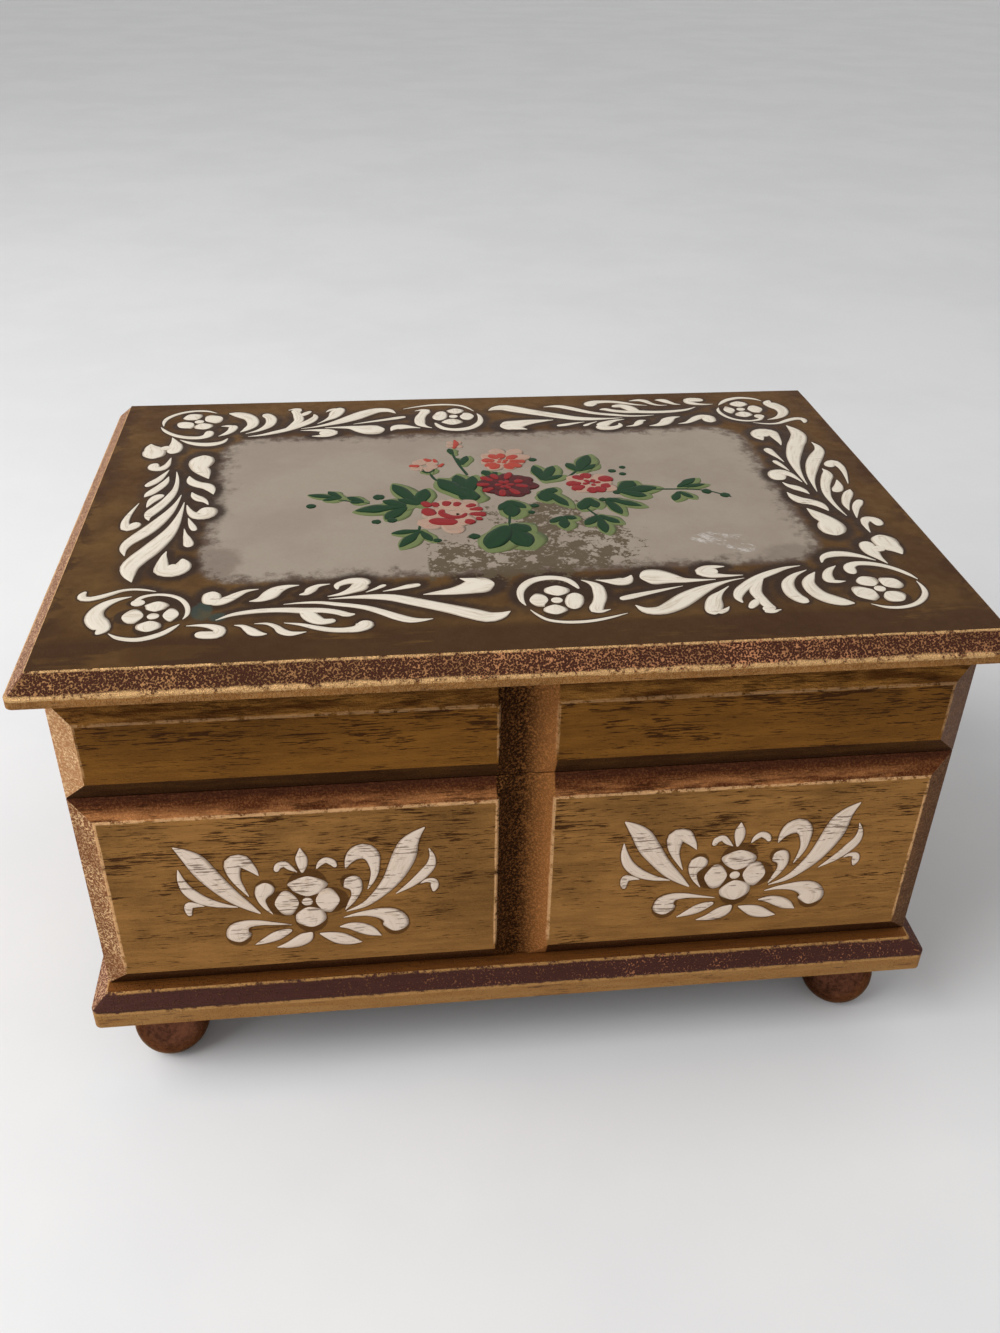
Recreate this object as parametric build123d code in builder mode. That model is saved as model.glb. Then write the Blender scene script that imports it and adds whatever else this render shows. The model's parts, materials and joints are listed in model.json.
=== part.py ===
from build123d import *
import os
from math import cos, pi, radians, sin, sqrt

# Musical jewellery box: a gilded wooden box with a hinged lid, a lined tray, one drawer and a
# clockwork movement in a well behind the drawer. Millimetres. +Z is up and the drawer front faces
# -Y. The origin is on the floor, under the middle of the lid, which is the widest and deepest piece.

os.makedirs("parts", exist_ok=True)

# Driving dimensions of the case
case_width = 231.0
case_depth = 156.0
lid_side_overhang = 4.5
lid_front_overhang = 10.5
lid_rear_overhang = 4.5
lid_edge_height = 2.5
lid_bevel_height = 4.5
lid_bevel_width = 4.8
foot_height = 26.0
base_edge_height = 6.4
base_bevel_height = 2.9
base_bevel_width = 4.3
base_overhang = 4.5
drawer_front_height = 66.2
upper_board_height = 30.0
top_rail_height = 6.4
front_board_thickness = 10.0
front_bevel_width = 6.1
front_bevel_depth = 3.1
groove_width = 15.0
groove_depth = 3.6
panel_thickness = 7.0
corner_radius = 2.2
bevel_corner_radius = 0.8

# Driving dimensions of the feet
ball_radius = 11.0
foot_sole_radius = 5.5
foot_neck_radius = 6.0
foot_neck_height = 2.0
foot_collar_radius = 8.5
foot_spigot_radius = 3.2
foot_spigot_length = 7.0
foot_inset = 17.2

# Driving dimensions of the drawer, the tray and the linings
drawer_box_height = 56.0
drawer_wall = 6.0
drawer_side_clearance = 0.6
drawer_bottom_thickness = 3.0
drawer_bottom_rise = 1.0
drawer_divider_height = 30.0
runner_height = 2.0
runner_width = 6.0
tray_floor_thickness = 3.0
divider_thickness = 3.0
tray_divider_height = 22.0
tray_front_depth = 73.0
rear_compartment_width = 72.0
ring_bay_width = 130.0
ring_roll_count = 4
ring_roll_base_height = 6.0
lining_thickness = 0.8
well_depth = 43.0
partition_thickness = 3.0

# Driving dimensions of the lid's inside
lid_lining_thickness = 1.0
lid_lining_side_margin = 8.5
lid_lining_front_margin = 5.5
lid_lining_rear_margin = 15.5
mirror_thickness = 2.0
mirror_margin = 14.0
mirror_lap = 2.0
mirror_frame_width = 8.0
mirror_frame_thickness = 3.6

# Driving dimensions of the hinges
hinge_length = 26.0
hinge_from_side = 45.5
hinge_leaf_thickness = 0.9
hinge_barrel_radius = 1.6
hinge_pin_radius = 0.7
hinge_axis_behind_back = 0.9
hinge_leaf_reach = 6.2
hinge_middle_share = 0.36
hinge_screw_radius = 0.8
hinge_screw_head_radius = 1.4
hinge_screw_head_height = 0.5
hinge_screw_length = 5.0
hinge_screw_spacing = 16.0
hinge_screw_setback = 3.6

# Driving dimensions of the movement, measured from the axes of its wheels
movement_from_side = 40.5
movement_from_back = 20.0
bed_length = 54.0
bed_left_reach = 26.5
bed_depth = 37.0
bed_thickness = 3.0
bed_corner_radius = 2.0
bearing_half_width = 3.0
bearing_rise = 2.5
frame_foot_thickness = 1.2
frame_arm_thickness = 1.2
frame_arm_half_width = 1.6
frame_post_width = 1.4
frame_post_gap = 0.5
frame_arm_gap = 1.0
frame_side_reach = 2.0
frame_end_reach = 2.5
pivot_sink = 0.8
arbor_stub = 0.3
outer_bearing_gap = 2.0
worm_pivot_radius = 0.5
arbor_height = 9.0
barrel_axis_x = 14.0
drum_radius = 9.6
drum_height = 9.4
drum_wall = 0.6
drum_foot_height = 2.6
barrel_cap_thickness = 0.6
crown_radius = 12.5
crown_teeth = 48
crown_tooth_length = 2.3
pinion_teeth = 16
cylinder_radius = 6.5
cylinder_length = 15.8
cylinder_pin_radius = 0.2
cylinder_pin_height = 0.45
pins_per_ring = 4
pin_ring_turn = 137.5
pin_sink = 0.3
arbor_radius = 0.75
wheel_teeth = 36
wheel_module = 0.34
train_pinion_teeth = 12
gear_width = 1.2
tooth_share = 0.36
tooth_root_share = 0.62
tooth_tip_share = 0.36
tooth_sink = 0.3
worm_wheel_teeth = 16
worm_starts = 2
worm_module = 0.48
worm_radius = 1.3
worm_length = 4
thread_tip_share = 0.5
thread_sink = 0.15
worm_wheel_width = 1.0
governor_reach = 22.0
tooth_addendum = 0.35
tooth_clearance = 0.1
fly_radius = 4.2
fly_height = 3.5
fly_level = 14.0
fly_hub_radius = 1.2
fly_vane_thickness = 0.6
fly_vane_inset = 0.2
fly_disc_thickness = 0.5
comb_tooth_count = 18
comb_length = 10.5
comb_thickness = 1.0
comb_tip_gap = 0.25
comb_slot_share = 0.4
comb_slot_length = 7.4
comb_base_depth = 2.7
bracket_thickness = 1.0
bridge_thickness = 1.6
bridge_width = 6.0
bridge_gap = 1.0
pillar_radius = 1.6
pillar_gap = 0.85
pillar_turn = 65.0
spring_turns = 5
spring_strip = 0.35
spring_inner_gap = 0.8

# Driving dimensions of the screws
mount_screw_radius = 1.4
mount_screw_head_radius = 2.6
mount_screw_head_height = 1.8
mount_screw_inset = 3.4
mount_screw_sink = 0.2
comb_screw_radius = 0.6
comb_screw_head_radius = 1.2
comb_screw_head_height = 0.8
comb_screw_length = 4.0
comb_screw_inset = 3.2
bracket_screw_radius = 0.8
bracket_screw_head_radius = 1.5
bracket_screw_head_height = 0.8
bracket_screw_reach = 4.0
bracket_screw_offset = 2.52
bracket_screw_drop = 7.2

# Driving dimensions of the winding key and the stop rod
winding_arbor_radius = 1.5
winding_arbor_end = 0.5
key_hub_radius = 3.5
key_hub_length = 13.0
key_ground_gap = 5.0
key_wing_span = 21.0
key_wing_height = 9.0
key_wing_thickness = 1.8
key_opening_radius = 5.0
key_socket_depth = 6.0
rod_from_side = 5.0
rod_radius = 1.2
rod_collar_radius = 3.0
rod_collar_height = 2.0
rod_foot_radius = 0.6
rod_tip_lap = 1.7
rod_guide_width = 9.0
rod_guide_height = 30.0
rod_shelf_rise = 38.7
rod_bracket_height = 12.0
rod_bracket_inset = 0.5
rod_spring_length = 14.0
rod_spring_turns = 6
rod_spring_wire = 0.35
rod_spring_radius = 2.3

# Clearances
seam = 0.3
running_fit = 0.05
screw_fit = 0.1
end_play = 0.4
drawer_gap = 0.5
brake_gap = 0.25
knuckle_gap = 0.15
tooth_end_gap = 0.1
worm_end_gap = 0.2
cut_past = 1.0

# Levels and faces that follow from the driving dimensions
lid_width = case_width + 2 * lid_side_overhang
lid_depth = case_depth + lid_front_overhang + lid_rear_overhang
lid_thickness = lid_edge_height + lid_bevel_height
lid_y = (-lid_depth / 2, lid_depth / 2)
front_face = lid_y[0] + lid_front_overhang
back_face = lid_y[1] - lid_rear_overhang
ridge_face = front_face + front_bevel_depth
carcass_front = front_face + front_board_thickness
inner_back = back_face - panel_thickness
inner_side = case_width / 2 - panel_thickness
base_top = foot_height + base_edge_height + base_bevel_height
drawer_front_z = (base_top + drawer_gap, base_top + drawer_gap + drawer_front_height)
upper_board_bottom = drawer_front_z[1] + seam
tray_floor_z = (upper_board_bottom, upper_board_bottom + tray_floor_thickness)
upper_board_z = (upper_board_bottom, upper_board_bottom + upper_board_height)
case_top = upper_board_z[1] + top_rail_height
lid_bottom = case_top + seam
lid_top = lid_bottom + lid_thickness
full_x = (-case_width / 2, case_width / 2)
inner_x = (-inner_side, inner_side)
movement_x = inner_x[0] + movement_from_side
movement_y = inner_back - movement_from_back
rod_x = inner_x[0] + rod_from_side
rod_shelf_level = base_top + rod_shelf_rise


def save(piece, name):
    """Label a finished piece and write it under its own name."""
    piece.part.label = name
    export_step(piece.part, f"parts/{name}.step")


def past(span):
    """Push both ends of a (low, high) pair out, so that a cut goes right through."""
    return (span[0] - cut_past, span[1] + cut_past)


def inset(area, margin):
    """Shrink a rectangle, given as its X and Y limits, by a margin on all four sides."""
    (x_low, x_high), (y_low, y_high) = area
    return (x_low + margin, x_high - margin), (y_low + margin, y_high - margin)


def block(x, y, z, mode=Mode.ADD):
    """Add or cut a squared block between three (low, high) pairs."""
    with Locations((sum(x) / 2, sum(y) / 2, sum(z) / 2)):
        Box(x[1] - x[0], y[1] - y[0], z[1] - z[0], mode=mode)


def post(x, y, z, radius, mode=Mode.ADD):
    """Add or cut an upright cylinder; z is a (low, high) pair."""
    with Locations((x, y, sum(z) / 2)):
        Cylinder(radius, z[1] - z[0], mode=mode)


def axle(x, y, z, radius, mode=Mode.ADD):
    """Add or cut a cylinder that lies along X; x is a (low, high) pair."""
    with Locations((sum(x) / 2, y, z)):
        Cylinder(radius, x[1] - x[0], rotation=(0, 90, 0), mode=mode)


def across(y, x, z, radius, mode=Mode.ADD):
    """Add or cut a cylinder that lies along Y; y is a (low, high) pair."""
    with Locations((x, sum(y) / 2, z)):
        Cylinder(radius, y[1] - y[0], rotation=(90, 0, 0), mode=mode)


def moulded_board(x, y, z, bevel_width, bevel_height):
    """Board with an upright edge below and a bevel above, run all the way round."""
    centre = ((x[0] + x[1]) / 2, (y[0] + y[1]) / 2)
    size = (x[1] - x[0], y[1] - y[0])
    ridge = z[1] - bevel_height
    with BuildSketch(Plane.XY.offset(z[0])) as foot_outline:
        with Locations(centre):
            RectangleRounded(size[0], size[1], corner_radius)
    extrude(foot_outline.sketch, amount=ridge - z[0])
    with BuildSketch(Plane.XY.offset(ridge)) as low:
        with Locations(centre):
            RectangleRounded(size[0], size[1], corner_radius)
    with BuildSketch(Plane.XY.offset(z[1])) as high:
        with Locations(centre):
            top_size = (size[0] - 2 * bevel_width, size[1] - 2 * bevel_width)
            RectangleRounded(*top_size, bevel_corner_radius)
    loft(sections=[low.sketch.face(), high.sketch.face()], ruled=True)


def panelled_board(z, back):
    """Front board with a raised panel: four bevels, and a hollow groove down the middle."""
    middle = (z[0] + z[1]) / 2
    height = z[1] - z[0]
    block(full_x, (ridge_face, back), z)
    with BuildSketch(Plane.XZ.offset(-ridge_face)) as outer:
        with Locations((0, middle)):
            Rectangle(case_width, height)
    with BuildSketch(Plane.XZ.offset(-front_face)) as inner:
        with Locations((0, middle)):
            Rectangle(case_width - 2 * front_bevel_width, height - 2 * front_bevel_width)
    loft(sections=[outer.sketch.face(), inner.sketch.face()], ruled=True)
    groove_radius = ((groove_width / 2) ** 2 + groove_depth**2) / (2 * groove_depth)
    groove_y = front_face + groove_depth - groove_radius
    post(0, groove_y, past(z), groove_radius, Mode.SUBTRACT)


def gear_blank(teeth, module, x, y, z, first_tooth):
    """Spur gear on an arbor along X. first_tooth is a tooth's angle in degrees, from +Y to +Z."""
    pitch_radius = teeth * module / 2
    root = pitch_radius - tooth_addendum - tooth_clearance
    tip = pitch_radius + tooth_addendum
    half_root = tooth_share * pi * module * tooth_root_share
    half_tip = tooth_share * pi * module * tooth_tip_share
    sunk = root - tooth_sink
    with BuildSketch(Plane.YZ.offset(x[0])) as face:
        with Locations((y, z)):
            Circle(root)
        with Locations(Location((y, z, 0), (0, 0, first_tooth))):
            with PolarLocations(0, teeth):
                Polygon(
                    (sunk, -half_root), (tip, -half_tip), (tip, half_tip), (sunk, half_root), align=None
                )
    extrude(face.sketch, amount=x[1] - x[0])


# Base board: solid, moulded on all four edges, bored for the feet, the movement and its key
base_x = (-case_width / 2 - base_overhang, case_width / 2 + base_overhang)
base_y = (front_face - base_overhang, back_face + base_overhang)
foot_centres = {
    "foot_front_left": (base_x[0] + foot_inset, base_y[0] + foot_inset),
    "foot_front_right": (base_x[1] - foot_inset, base_y[0] + foot_inset),
    "foot_rear_left": (base_x[0] + foot_inset, base_y[1] - foot_inset),
    "foot_rear_right": (base_x[1] - foot_inset, base_y[1] - foot_inset),
}
bed_x = (movement_x - bed_left_reach, movement_x - bed_left_reach + bed_length)
bed_y = (movement_y - bed_depth / 2, movement_y + bed_depth / 2)
bed_z = (base_top, base_top + bed_thickness)
key_x = movement_x + barrel_axis_x
key_y = movement_y
mount_screw_points = [
    (bed_x[0] + mount_screw_inset, bed_y[0] + mount_screw_inset),
    (bed_x[1] - mount_screw_inset, bed_y[0] + mount_screw_inset),
    (bed_x[1] - mount_screw_inset, bed_y[1] - mount_screw_inset),
]
base_hole_z = past((foot_height, base_top))
spigot_hole_radius = foot_spigot_radius + running_fit
mount_head_hole_radius = mount_screw_head_radius + screw_fit
spigot_top = foot_height + foot_spigot_length

with BuildPart() as base_board:
    moulded_board(base_x, base_y, (foot_height, base_top), base_bevel_width, base_bevel_height)
    for foot_x, foot_y in foot_centres.values():
        spigot_hole_z = (foot_height - cut_past, spigot_top + seam)
        post(foot_x, foot_y, spigot_hole_z, spigot_hole_radius, Mode.SUBTRACT)
    post(key_x, key_y, base_hole_z, key_opening_radius, Mode.SUBTRACT)
    for screw_x, screw_y in mount_screw_points:
        post(screw_x, screw_y, base_hole_z, mount_screw_radius + screw_fit, Mode.SUBTRACT)
        head_hole_z = (foot_height - cut_past, foot_height + mount_screw_head_height)
        post(screw_x, screw_y, head_hole_z, mount_head_hole_radius, Mode.SUBTRACT)
save(base_board, "base_board")

# Turned feet: a ball cut flat below, a neck and a collar, with a spigot glued up into the base
ball_centre = sqrt(ball_radius**2 - foot_sole_radius**2)
neck_bottom = ball_centre + sqrt(ball_radius**2 - foot_neck_radius**2)
neck_top = neck_bottom + foot_neck_height
for foot_name, (foot_x, foot_y) in foot_centres.items():
    foot_plane = Plane((foot_x, foot_y, 0), x_dir=(1, 0, 0), z_dir=(0, -1, 0))
    with BuildPart() as foot:
        with BuildSketch(foot_plane):
            with BuildLine():
                Polyline((0, neck_bottom), (0, 0), (foot_sole_radius, 0))
                ThreePointArc(
                    (foot_sole_radius, 0), (ball_radius, ball_centre), (foot_neck_radius, neck_bottom)
                )
                Line((foot_neck_radius, neck_bottom), (0, neck_bottom))
            make_face()
        revolve(axis=Axis((foot_x, foot_y, 0), (0, 0, 1)))
        post(foot_x, foot_y, (neck_bottom, neck_top), foot_neck_radius)
        post(foot_x, foot_y, (neck_top, foot_height), foot_collar_radius)
        post(foot_x, foot_y, (foot_height, spigot_top), foot_spigot_radius)
    save(foot, foot_name)

# Side and back panels of the case, standing on the base
panel_z = (base_top, case_top)
with BuildPart() as left_side_panel:
    block((full_x[0], inner_x[0]), (carcass_front, back_face), panel_z)
save(left_side_panel, "left_side_panel")

with BuildPart() as right_side_panel:
    block((inner_x[1], full_x[1]), (carcass_front, back_face), panel_z)
save(right_side_panel, "right_side_panel")

# Hinge line: behind the back panel, level with the joint between the case and the lid
hinge_y = back_face + hinge_axis_behind_back
hinge_z = case_top + seam / 2
hinge_centres = (full_x[0] + hinge_from_side, full_x[1] - hinge_from_side)
hinge_knuckle_hole = hinge_barrel_radius + seam
leaf_front = hinge_y - hinge_leaf_reach
leaf_screw_y = hinge_y - hinge_screw_setback
case_leaf_z = (case_top - hinge_leaf_thickness, case_top)
lid_leaf_z = (lid_bottom, lid_bottom + hinge_leaf_thickness)


def leaf_x(centre, spare=0.0):
    """Ends of a hinge leaf along X, with some spare at each end."""
    return (centre - hinge_length / 2 - spare, centre + hinge_length / 2 + spare)


def leaf_screw_x(centre):
    """Places of the two screws of a leaf along X."""
    return (centre - hinge_screw_spacing / 2, centre + hinge_screw_spacing / 2)


bracket_screw_hole = bracket_screw_radius + running_fit
bracket_screw_tip = inner_back + bracket_screw_reach
bracket_screw_x = (rod_x - bracket_screw_offset, rod_x + bracket_screw_offset)
bracket_screw_z = rod_shelf_level - bracket_screw_drop
leaf_screw_hole_radius = hinge_screw_radius + running_fit

with BuildPart() as back_panel:
    block(inner_x, (inner_back, back_face), panel_z)
    for screw_x in bracket_screw_x:
        bracket_hole_y = (inner_back - cut_past, bracket_screw_tip + seam)
        across(bracket_hole_y, screw_x, bracket_screw_z, bracket_screw_hole, Mode.SUBTRACT)
    for centre in hinge_centres:
        leaf_housing_y = (leaf_front - seam, back_face + cut_past)
        leaf_housing_z = (case_leaf_z[0], case_top + cut_past)
        block(leaf_x(centre, seam), leaf_housing_y, leaf_housing_z, Mode.SUBTRACT)
        axle(leaf_x(centre, seam), hinge_y, hinge_z, hinge_knuckle_hole, Mode.SUBTRACT)
        for screw_x in leaf_screw_x(centre):
            screw_hole_z = (case_top - hinge_screw_length - seam, case_top)
            post(screw_x, leaf_screw_y, screw_hole_z, leaf_screw_hole_radius, Mode.SUBTRACT)
save(back_panel, "back_panel")

# Fixed front board above the drawer, and the plain rail on top of it that the lid closes on
with BuildPart() as upper_front_board:
    panelled_board(upper_board_z, carcass_front)
save(upper_front_board, "upper_front_board")

with BuildPart() as front_top_rail:
    block(full_x, (ridge_face, carcass_front), (upper_board_z[1], case_top))
save(front_top_rail, "front_top_rail")

# Tray floor between the panels, with a hole for the stop rod
wheel_radius = wheel_teeth * wheel_module / 2
train_pinion_radius = train_pinion_teeth * wheel_module / 2
worm_wheel_radius = worm_wheel_teeth * worm_module / 2
train_y = movement_y + wheel_radius + train_pinion_radius
fly_x = movement_x - governor_reach
fly_y = train_y + worm_wheel_radius + worm_radius
rod_y = fly_y
with BuildPart() as tray_floor:
    block(inner_x, (carcass_front, inner_back), tray_floor_z)
    post(rod_x, rod_y, past(tray_floor_z), rod_radius + seam, Mode.SUBTRACT)
save(tray_floor, "tray_floor")

# Wooden guide for the stop rod, in the rear left corner of the tray
guide_x = (inner_x[0], rod_x + rod_guide_width / 2)
guide_y = (rod_y - rod_guide_width / 2, inner_back)
guide_z = (tray_floor_z[1], tray_floor_z[1] + rod_guide_height)
with BuildPart() as rod_guide:
    block(guide_x, guide_y, guide_z)
    post(rod_x, rod_y, past(guide_z), rod_radius + running_fit, Mode.SUBTRACT)
save(rod_guide, "rod_guide")

# Cloth lining on the tray floor, cut out round the guide
tray_lining_z = (tray_floor_z[1], tray_floor_z[1] + lining_thickness)
with BuildPart() as tray_lining:
    block(
        (inner_x[0] + seam, inner_x[1] - seam), (carcass_front + seam, inner_back - seam), tray_lining_z
    )
    block(
        (guide_x[0] - cut_past, guide_x[1] + seam), (guide_y[0] - seam, guide_y[1] + cut_past),
        past(tray_lining_z), Mode.SUBTRACT,
    )
save(tray_lining, "tray_lining")

# Thin boards that divide the tray: one long rail, two dividers behind it and one in front
divider_z = (tray_lining_z[1], tray_lining_z[1] + tray_divider_height)
rail_y = (carcass_front + tray_front_depth, carcass_front + tray_front_depth + divider_thickness)
ring_bay_end = inner_x[0] + ring_bay_width
with BuildPart() as tray_rail:
    block(inner_x, rail_y, divider_z)
save(tray_rail, "tray_rail")

rear_divider_left = inner_x[0] + rear_compartment_width
rear_divider_right = inner_x[1] - rear_compartment_width - divider_thickness
with BuildPart() as tray_dividers:
    block((ring_bay_end, ring_bay_end + divider_thickness), (carcass_front, rail_y[0]), divider_z)
    for start in (rear_divider_left, rear_divider_right):
        block((start, start + divider_thickness), (rail_y[1], inner_back), divider_z)
save(tray_dividers, "tray_dividers")

# Soft ring rolls side by side: flat below, half round above
roll_pitch = tray_front_depth / ring_roll_count
roll_radius = (roll_pitch - seam) / 2
roll_x = (inner_x[0] + seam, ring_bay_end - seam)
for roll_index in range(ring_roll_count):
    roll_y = carcass_front + roll_pitch * (roll_index + 0.5)
    with BuildPart() as ring_roll:
        with BuildSketch(Plane.YZ.offset(roll_x[0])):
            with BuildLine():
                roll_shoulder = tray_lining_z[1] + ring_roll_base_height
                Polyline(
                    (roll_y - roll_radius, roll_shoulder), (roll_y - roll_radius, tray_lining_z[1]),
                    (roll_y + roll_radius, tray_lining_z[1]), (roll_y + roll_radius, roll_shoulder),
                )
                ThreePointArc(
                    (roll_y + roll_radius, roll_shoulder), (roll_y, roll_shoulder + roll_radius),
                    (roll_y - roll_radius, roll_shoulder),
                )
            make_face()
        extrude(amount=roll_x[1] - roll_x[0])
    save(ring_roll, f"ring_roll_{roll_index + 1}")

# Partition that closes the movement's well behind the drawer
partition_y = (inner_back - well_depth - partition_thickness, inner_back - well_depth)
with BuildPart() as well_partition:
    block(inner_x, partition_y, (base_top, tray_floor_z[0]))
save(well_partition, "well_partition")

# Drawer runners: strips on the base along the side panels
runner_z = (base_top, base_top + runner_height)
with BuildPart() as drawer_runners:
    block((inner_x[0], inner_x[0] + runner_width), (carcass_front, partition_y[0]), runner_z)
    block((inner_x[1] - runner_width, inner_x[1]), (carcass_front, partition_y[0]), runner_z)
save(drawer_runners, "drawer_runners")

# Drawer: panelled front, two sides, a back, a bottom, its lining and one divider
drawer_back_face = carcass_front - seam
drawer_outer = inner_side - drawer_side_clearance
drawer_inner = drawer_outer - drawer_wall
drawer_z = (runner_z[1] + seam, runner_z[1] + seam + drawer_box_height)
drawer_rear = partition_y[0] - drawer_side_clearance
drawer_bottom_low = drawer_z[0] + drawer_bottom_rise
drawer_bottom_z = (drawer_bottom_low, drawer_bottom_low + drawer_bottom_thickness)
with BuildPart() as drawer_front:
    panelled_board(drawer_front_z, drawer_back_face)
save(drawer_front, "drawer_front")

with BuildPart() as drawer_left_side:
    block((-drawer_outer, -drawer_inner), (drawer_back_face, drawer_rear), drawer_z)
save(drawer_left_side, "drawer_left_side")

with BuildPart() as drawer_right_side:
    block((drawer_inner, drawer_outer), (drawer_back_face, drawer_rear), drawer_z)
save(drawer_right_side, "drawer_right_side")

drawer_inside_y = (drawer_back_face, drawer_rear - drawer_wall)
with BuildPart() as drawer_back:
    block((-drawer_inner, drawer_inner), (drawer_inside_y[1], drawer_rear), drawer_z)
save(drawer_back, "drawer_back")

with BuildPart() as drawer_bottom:
    block((-drawer_inner, drawer_inner), drawer_inside_y, drawer_bottom_z)
save(drawer_bottom, "drawer_bottom")

drawer_lining_z = (drawer_bottom_z[1], drawer_bottom_z[1] + lining_thickness)
with BuildPart() as drawer_lining:
    block(
        (seam - drawer_inner, drawer_inner - seam),
        (drawer_inside_y[0] + seam, drawer_inside_y[1] - seam), drawer_lining_z,
    )
save(drawer_lining, "drawer_lining")

with BuildPart() as drawer_divider:
    block(
        (-divider_thickness / 2, divider_thickness / 2), drawer_inside_y,
        (drawer_lining_z[1], drawer_lining_z[1] + drawer_divider_height),
    )
save(drawer_divider, "drawer_divider")

# Lid board: moulded all round, with housings for the hinges under its rear edge
with BuildPart() as lid_board:
    lid_z = (lid_bottom, lid_top)
    moulded_board((-lid_width / 2, lid_width / 2), lid_y, lid_z, lid_bevel_width, lid_bevel_height)
    for centre in hinge_centres:
        leaf_housing_z = (lid_bottom - cut_past, lid_leaf_z[1])
        block(leaf_x(centre, seam), (leaf_front - seam, hinge_y), leaf_housing_z, Mode.SUBTRACT)
        axle(leaf_x(centre, seam), hinge_y, hinge_z, hinge_knuckle_hole, Mode.SUBTRACT)
        for screw_x in leaf_screw_x(centre):
            screw_hole_z = (lid_bottom, lid_bottom + hinge_screw_length + seam)
            post(screw_x, leaf_screw_y, screw_hole_z, leaf_screw_hole_radius, Mode.SUBTRACT)
save(lid_board, "lid_board")

# Cloth panel, mirror and rebated mirror frame on the underside of the lid
lid_lining_area = (
    (inner_x[0] + lid_lining_side_margin, inner_x[1] - lid_lining_side_margin),
    (carcass_front + lid_lining_front_margin, inner_back - lid_lining_rear_margin),
)
mirror_area = inset(lid_lining_area, mirror_margin)
lid_lining_z = (lid_bottom - lid_lining_thickness, lid_bottom)
mirror_z = (lid_lining_z[0] - mirror_thickness, lid_lining_z[0])
mirror_frame_z = (lid_lining_z[0] - mirror_frame_thickness, lid_lining_z[0])

with BuildPart() as lid_lining:
    block(*lid_lining_area, lid_lining_z)
save(lid_lining, "lid_lining")

with BuildPart() as mirror:
    block(*mirror_area, mirror_z)
save(mirror, "mirror")

with BuildPart() as mirror_frame:
    block(*inset(mirror_area, mirror_lap - mirror_frame_width), mirror_frame_z)
    block(*inset(mirror_area, -running_fit), (mirror_z[0], mirror_z[1] + cut_past), Mode.SUBTRACT)
    block(*inset(mirror_area, mirror_lap), past(mirror_frame_z), Mode.SUBTRACT)
save(mirror_frame, "mirror_frame")

# Brass butt hinges: the case leaf has the two outer knuckles, the lid leaf the middle one
middle_half = hinge_length * hinge_middle_share / 2


def countersunk(x, y, z, up, mode):
    """A hinge screw, or with Mode.SUBTRACT its hole. up is 1 into the lid and -1 into the case."""
    spare = running_fit if mode == Mode.SUBTRACT else 0.0
    head_end = z + up * hinge_screw_head_height
    tip = z + up * hinge_screw_length
    post(x, y, sorted((z, head_end)), hinge_screw_head_radius + spare, mode)
    post(x, y, sorted((head_end, tip)), hinge_screw_radius + spare, mode)


for side, centre in zip(("left", "right"), hinge_centres):
    outer_knuckles = [
        (centre - hinge_length / 2, centre - middle_half - knuckle_gap),
        (centre + middle_half + knuckle_gap, centre + hinge_length / 2),
    ]
    with BuildPart() as case_leaf:
        block(leaf_x(centre), (leaf_front, hinge_y - hinge_barrel_radius - seam), case_leaf_z)
        for knuckle_x in outer_knuckles:
            block(knuckle_x, (leaf_front, hinge_y), case_leaf_z)
            axle(knuckle_x, hinge_y, hinge_z, hinge_barrel_radius)
            axle(knuckle_x, hinge_y, hinge_z, hinge_pin_radius, Mode.SUBTRACT)
        for screw_x in leaf_screw_x(centre):
            countersunk(screw_x, leaf_screw_y, case_top, -1, Mode.SUBTRACT)
    save(case_leaf, f"hinge_case_leaf_{side}")

    middle_knuckle = (centre - middle_half, centre + middle_half)
    with BuildPart() as lid_leaf:
        block(leaf_x(centre), (leaf_front, hinge_y - hinge_barrel_radius - seam), lid_leaf_z)
        block(middle_knuckle, (leaf_front, hinge_y), lid_leaf_z)
        axle(middle_knuckle, hinge_y, hinge_z, hinge_barrel_radius)
        axle(middle_knuckle, hinge_y, hinge_z, hinge_pin_radius + running_fit, Mode.SUBTRACT)
        for screw_x in leaf_screw_x(centre):
            countersunk(screw_x, leaf_screw_y, lid_bottom, 1, Mode.SUBTRACT)
    save(lid_leaf, f"hinge_lid_leaf_{side}")

with BuildPart() as hinge_pins:
    for centre in hinge_centres:
        axle(leaf_x(centre), hinge_y, hinge_z, hinge_pin_radius)
save(hinge_pins, "hinge_pins")

with BuildPart() as hinge_case_screws:
    for centre in hinge_centres:
        for screw_x in leaf_screw_x(centre):
            countersunk(screw_x, leaf_screw_y, case_top, -1, Mode.ADD)
save(hinge_case_screws, "hinge_case_screws")

with BuildPart() as hinge_lid_screws:
    for centre in hinge_centres:
        for screw_x in leaf_screw_x(centre):
            countersunk(screw_x, leaf_screw_y, lid_bottom, 1, Mode.ADD)
save(hinge_lid_screws, "hinge_lid_screws")

# Movement: everything below stands on the bedplate, in the well behind the drawer
bed_top = bed_z[1]
axis_z = bed_top + arbor_height
pinion_module = 2 * (crown_radius - crown_tooth_length / 2) / crown_teeth
pinion_radius = pinion_teeth * pinion_module / 2


def left_of(face, width):
    """X limits of a piece of this width that stands to the left of a face, with end play."""
    return (face - end_play - width, face - end_play)


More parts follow.
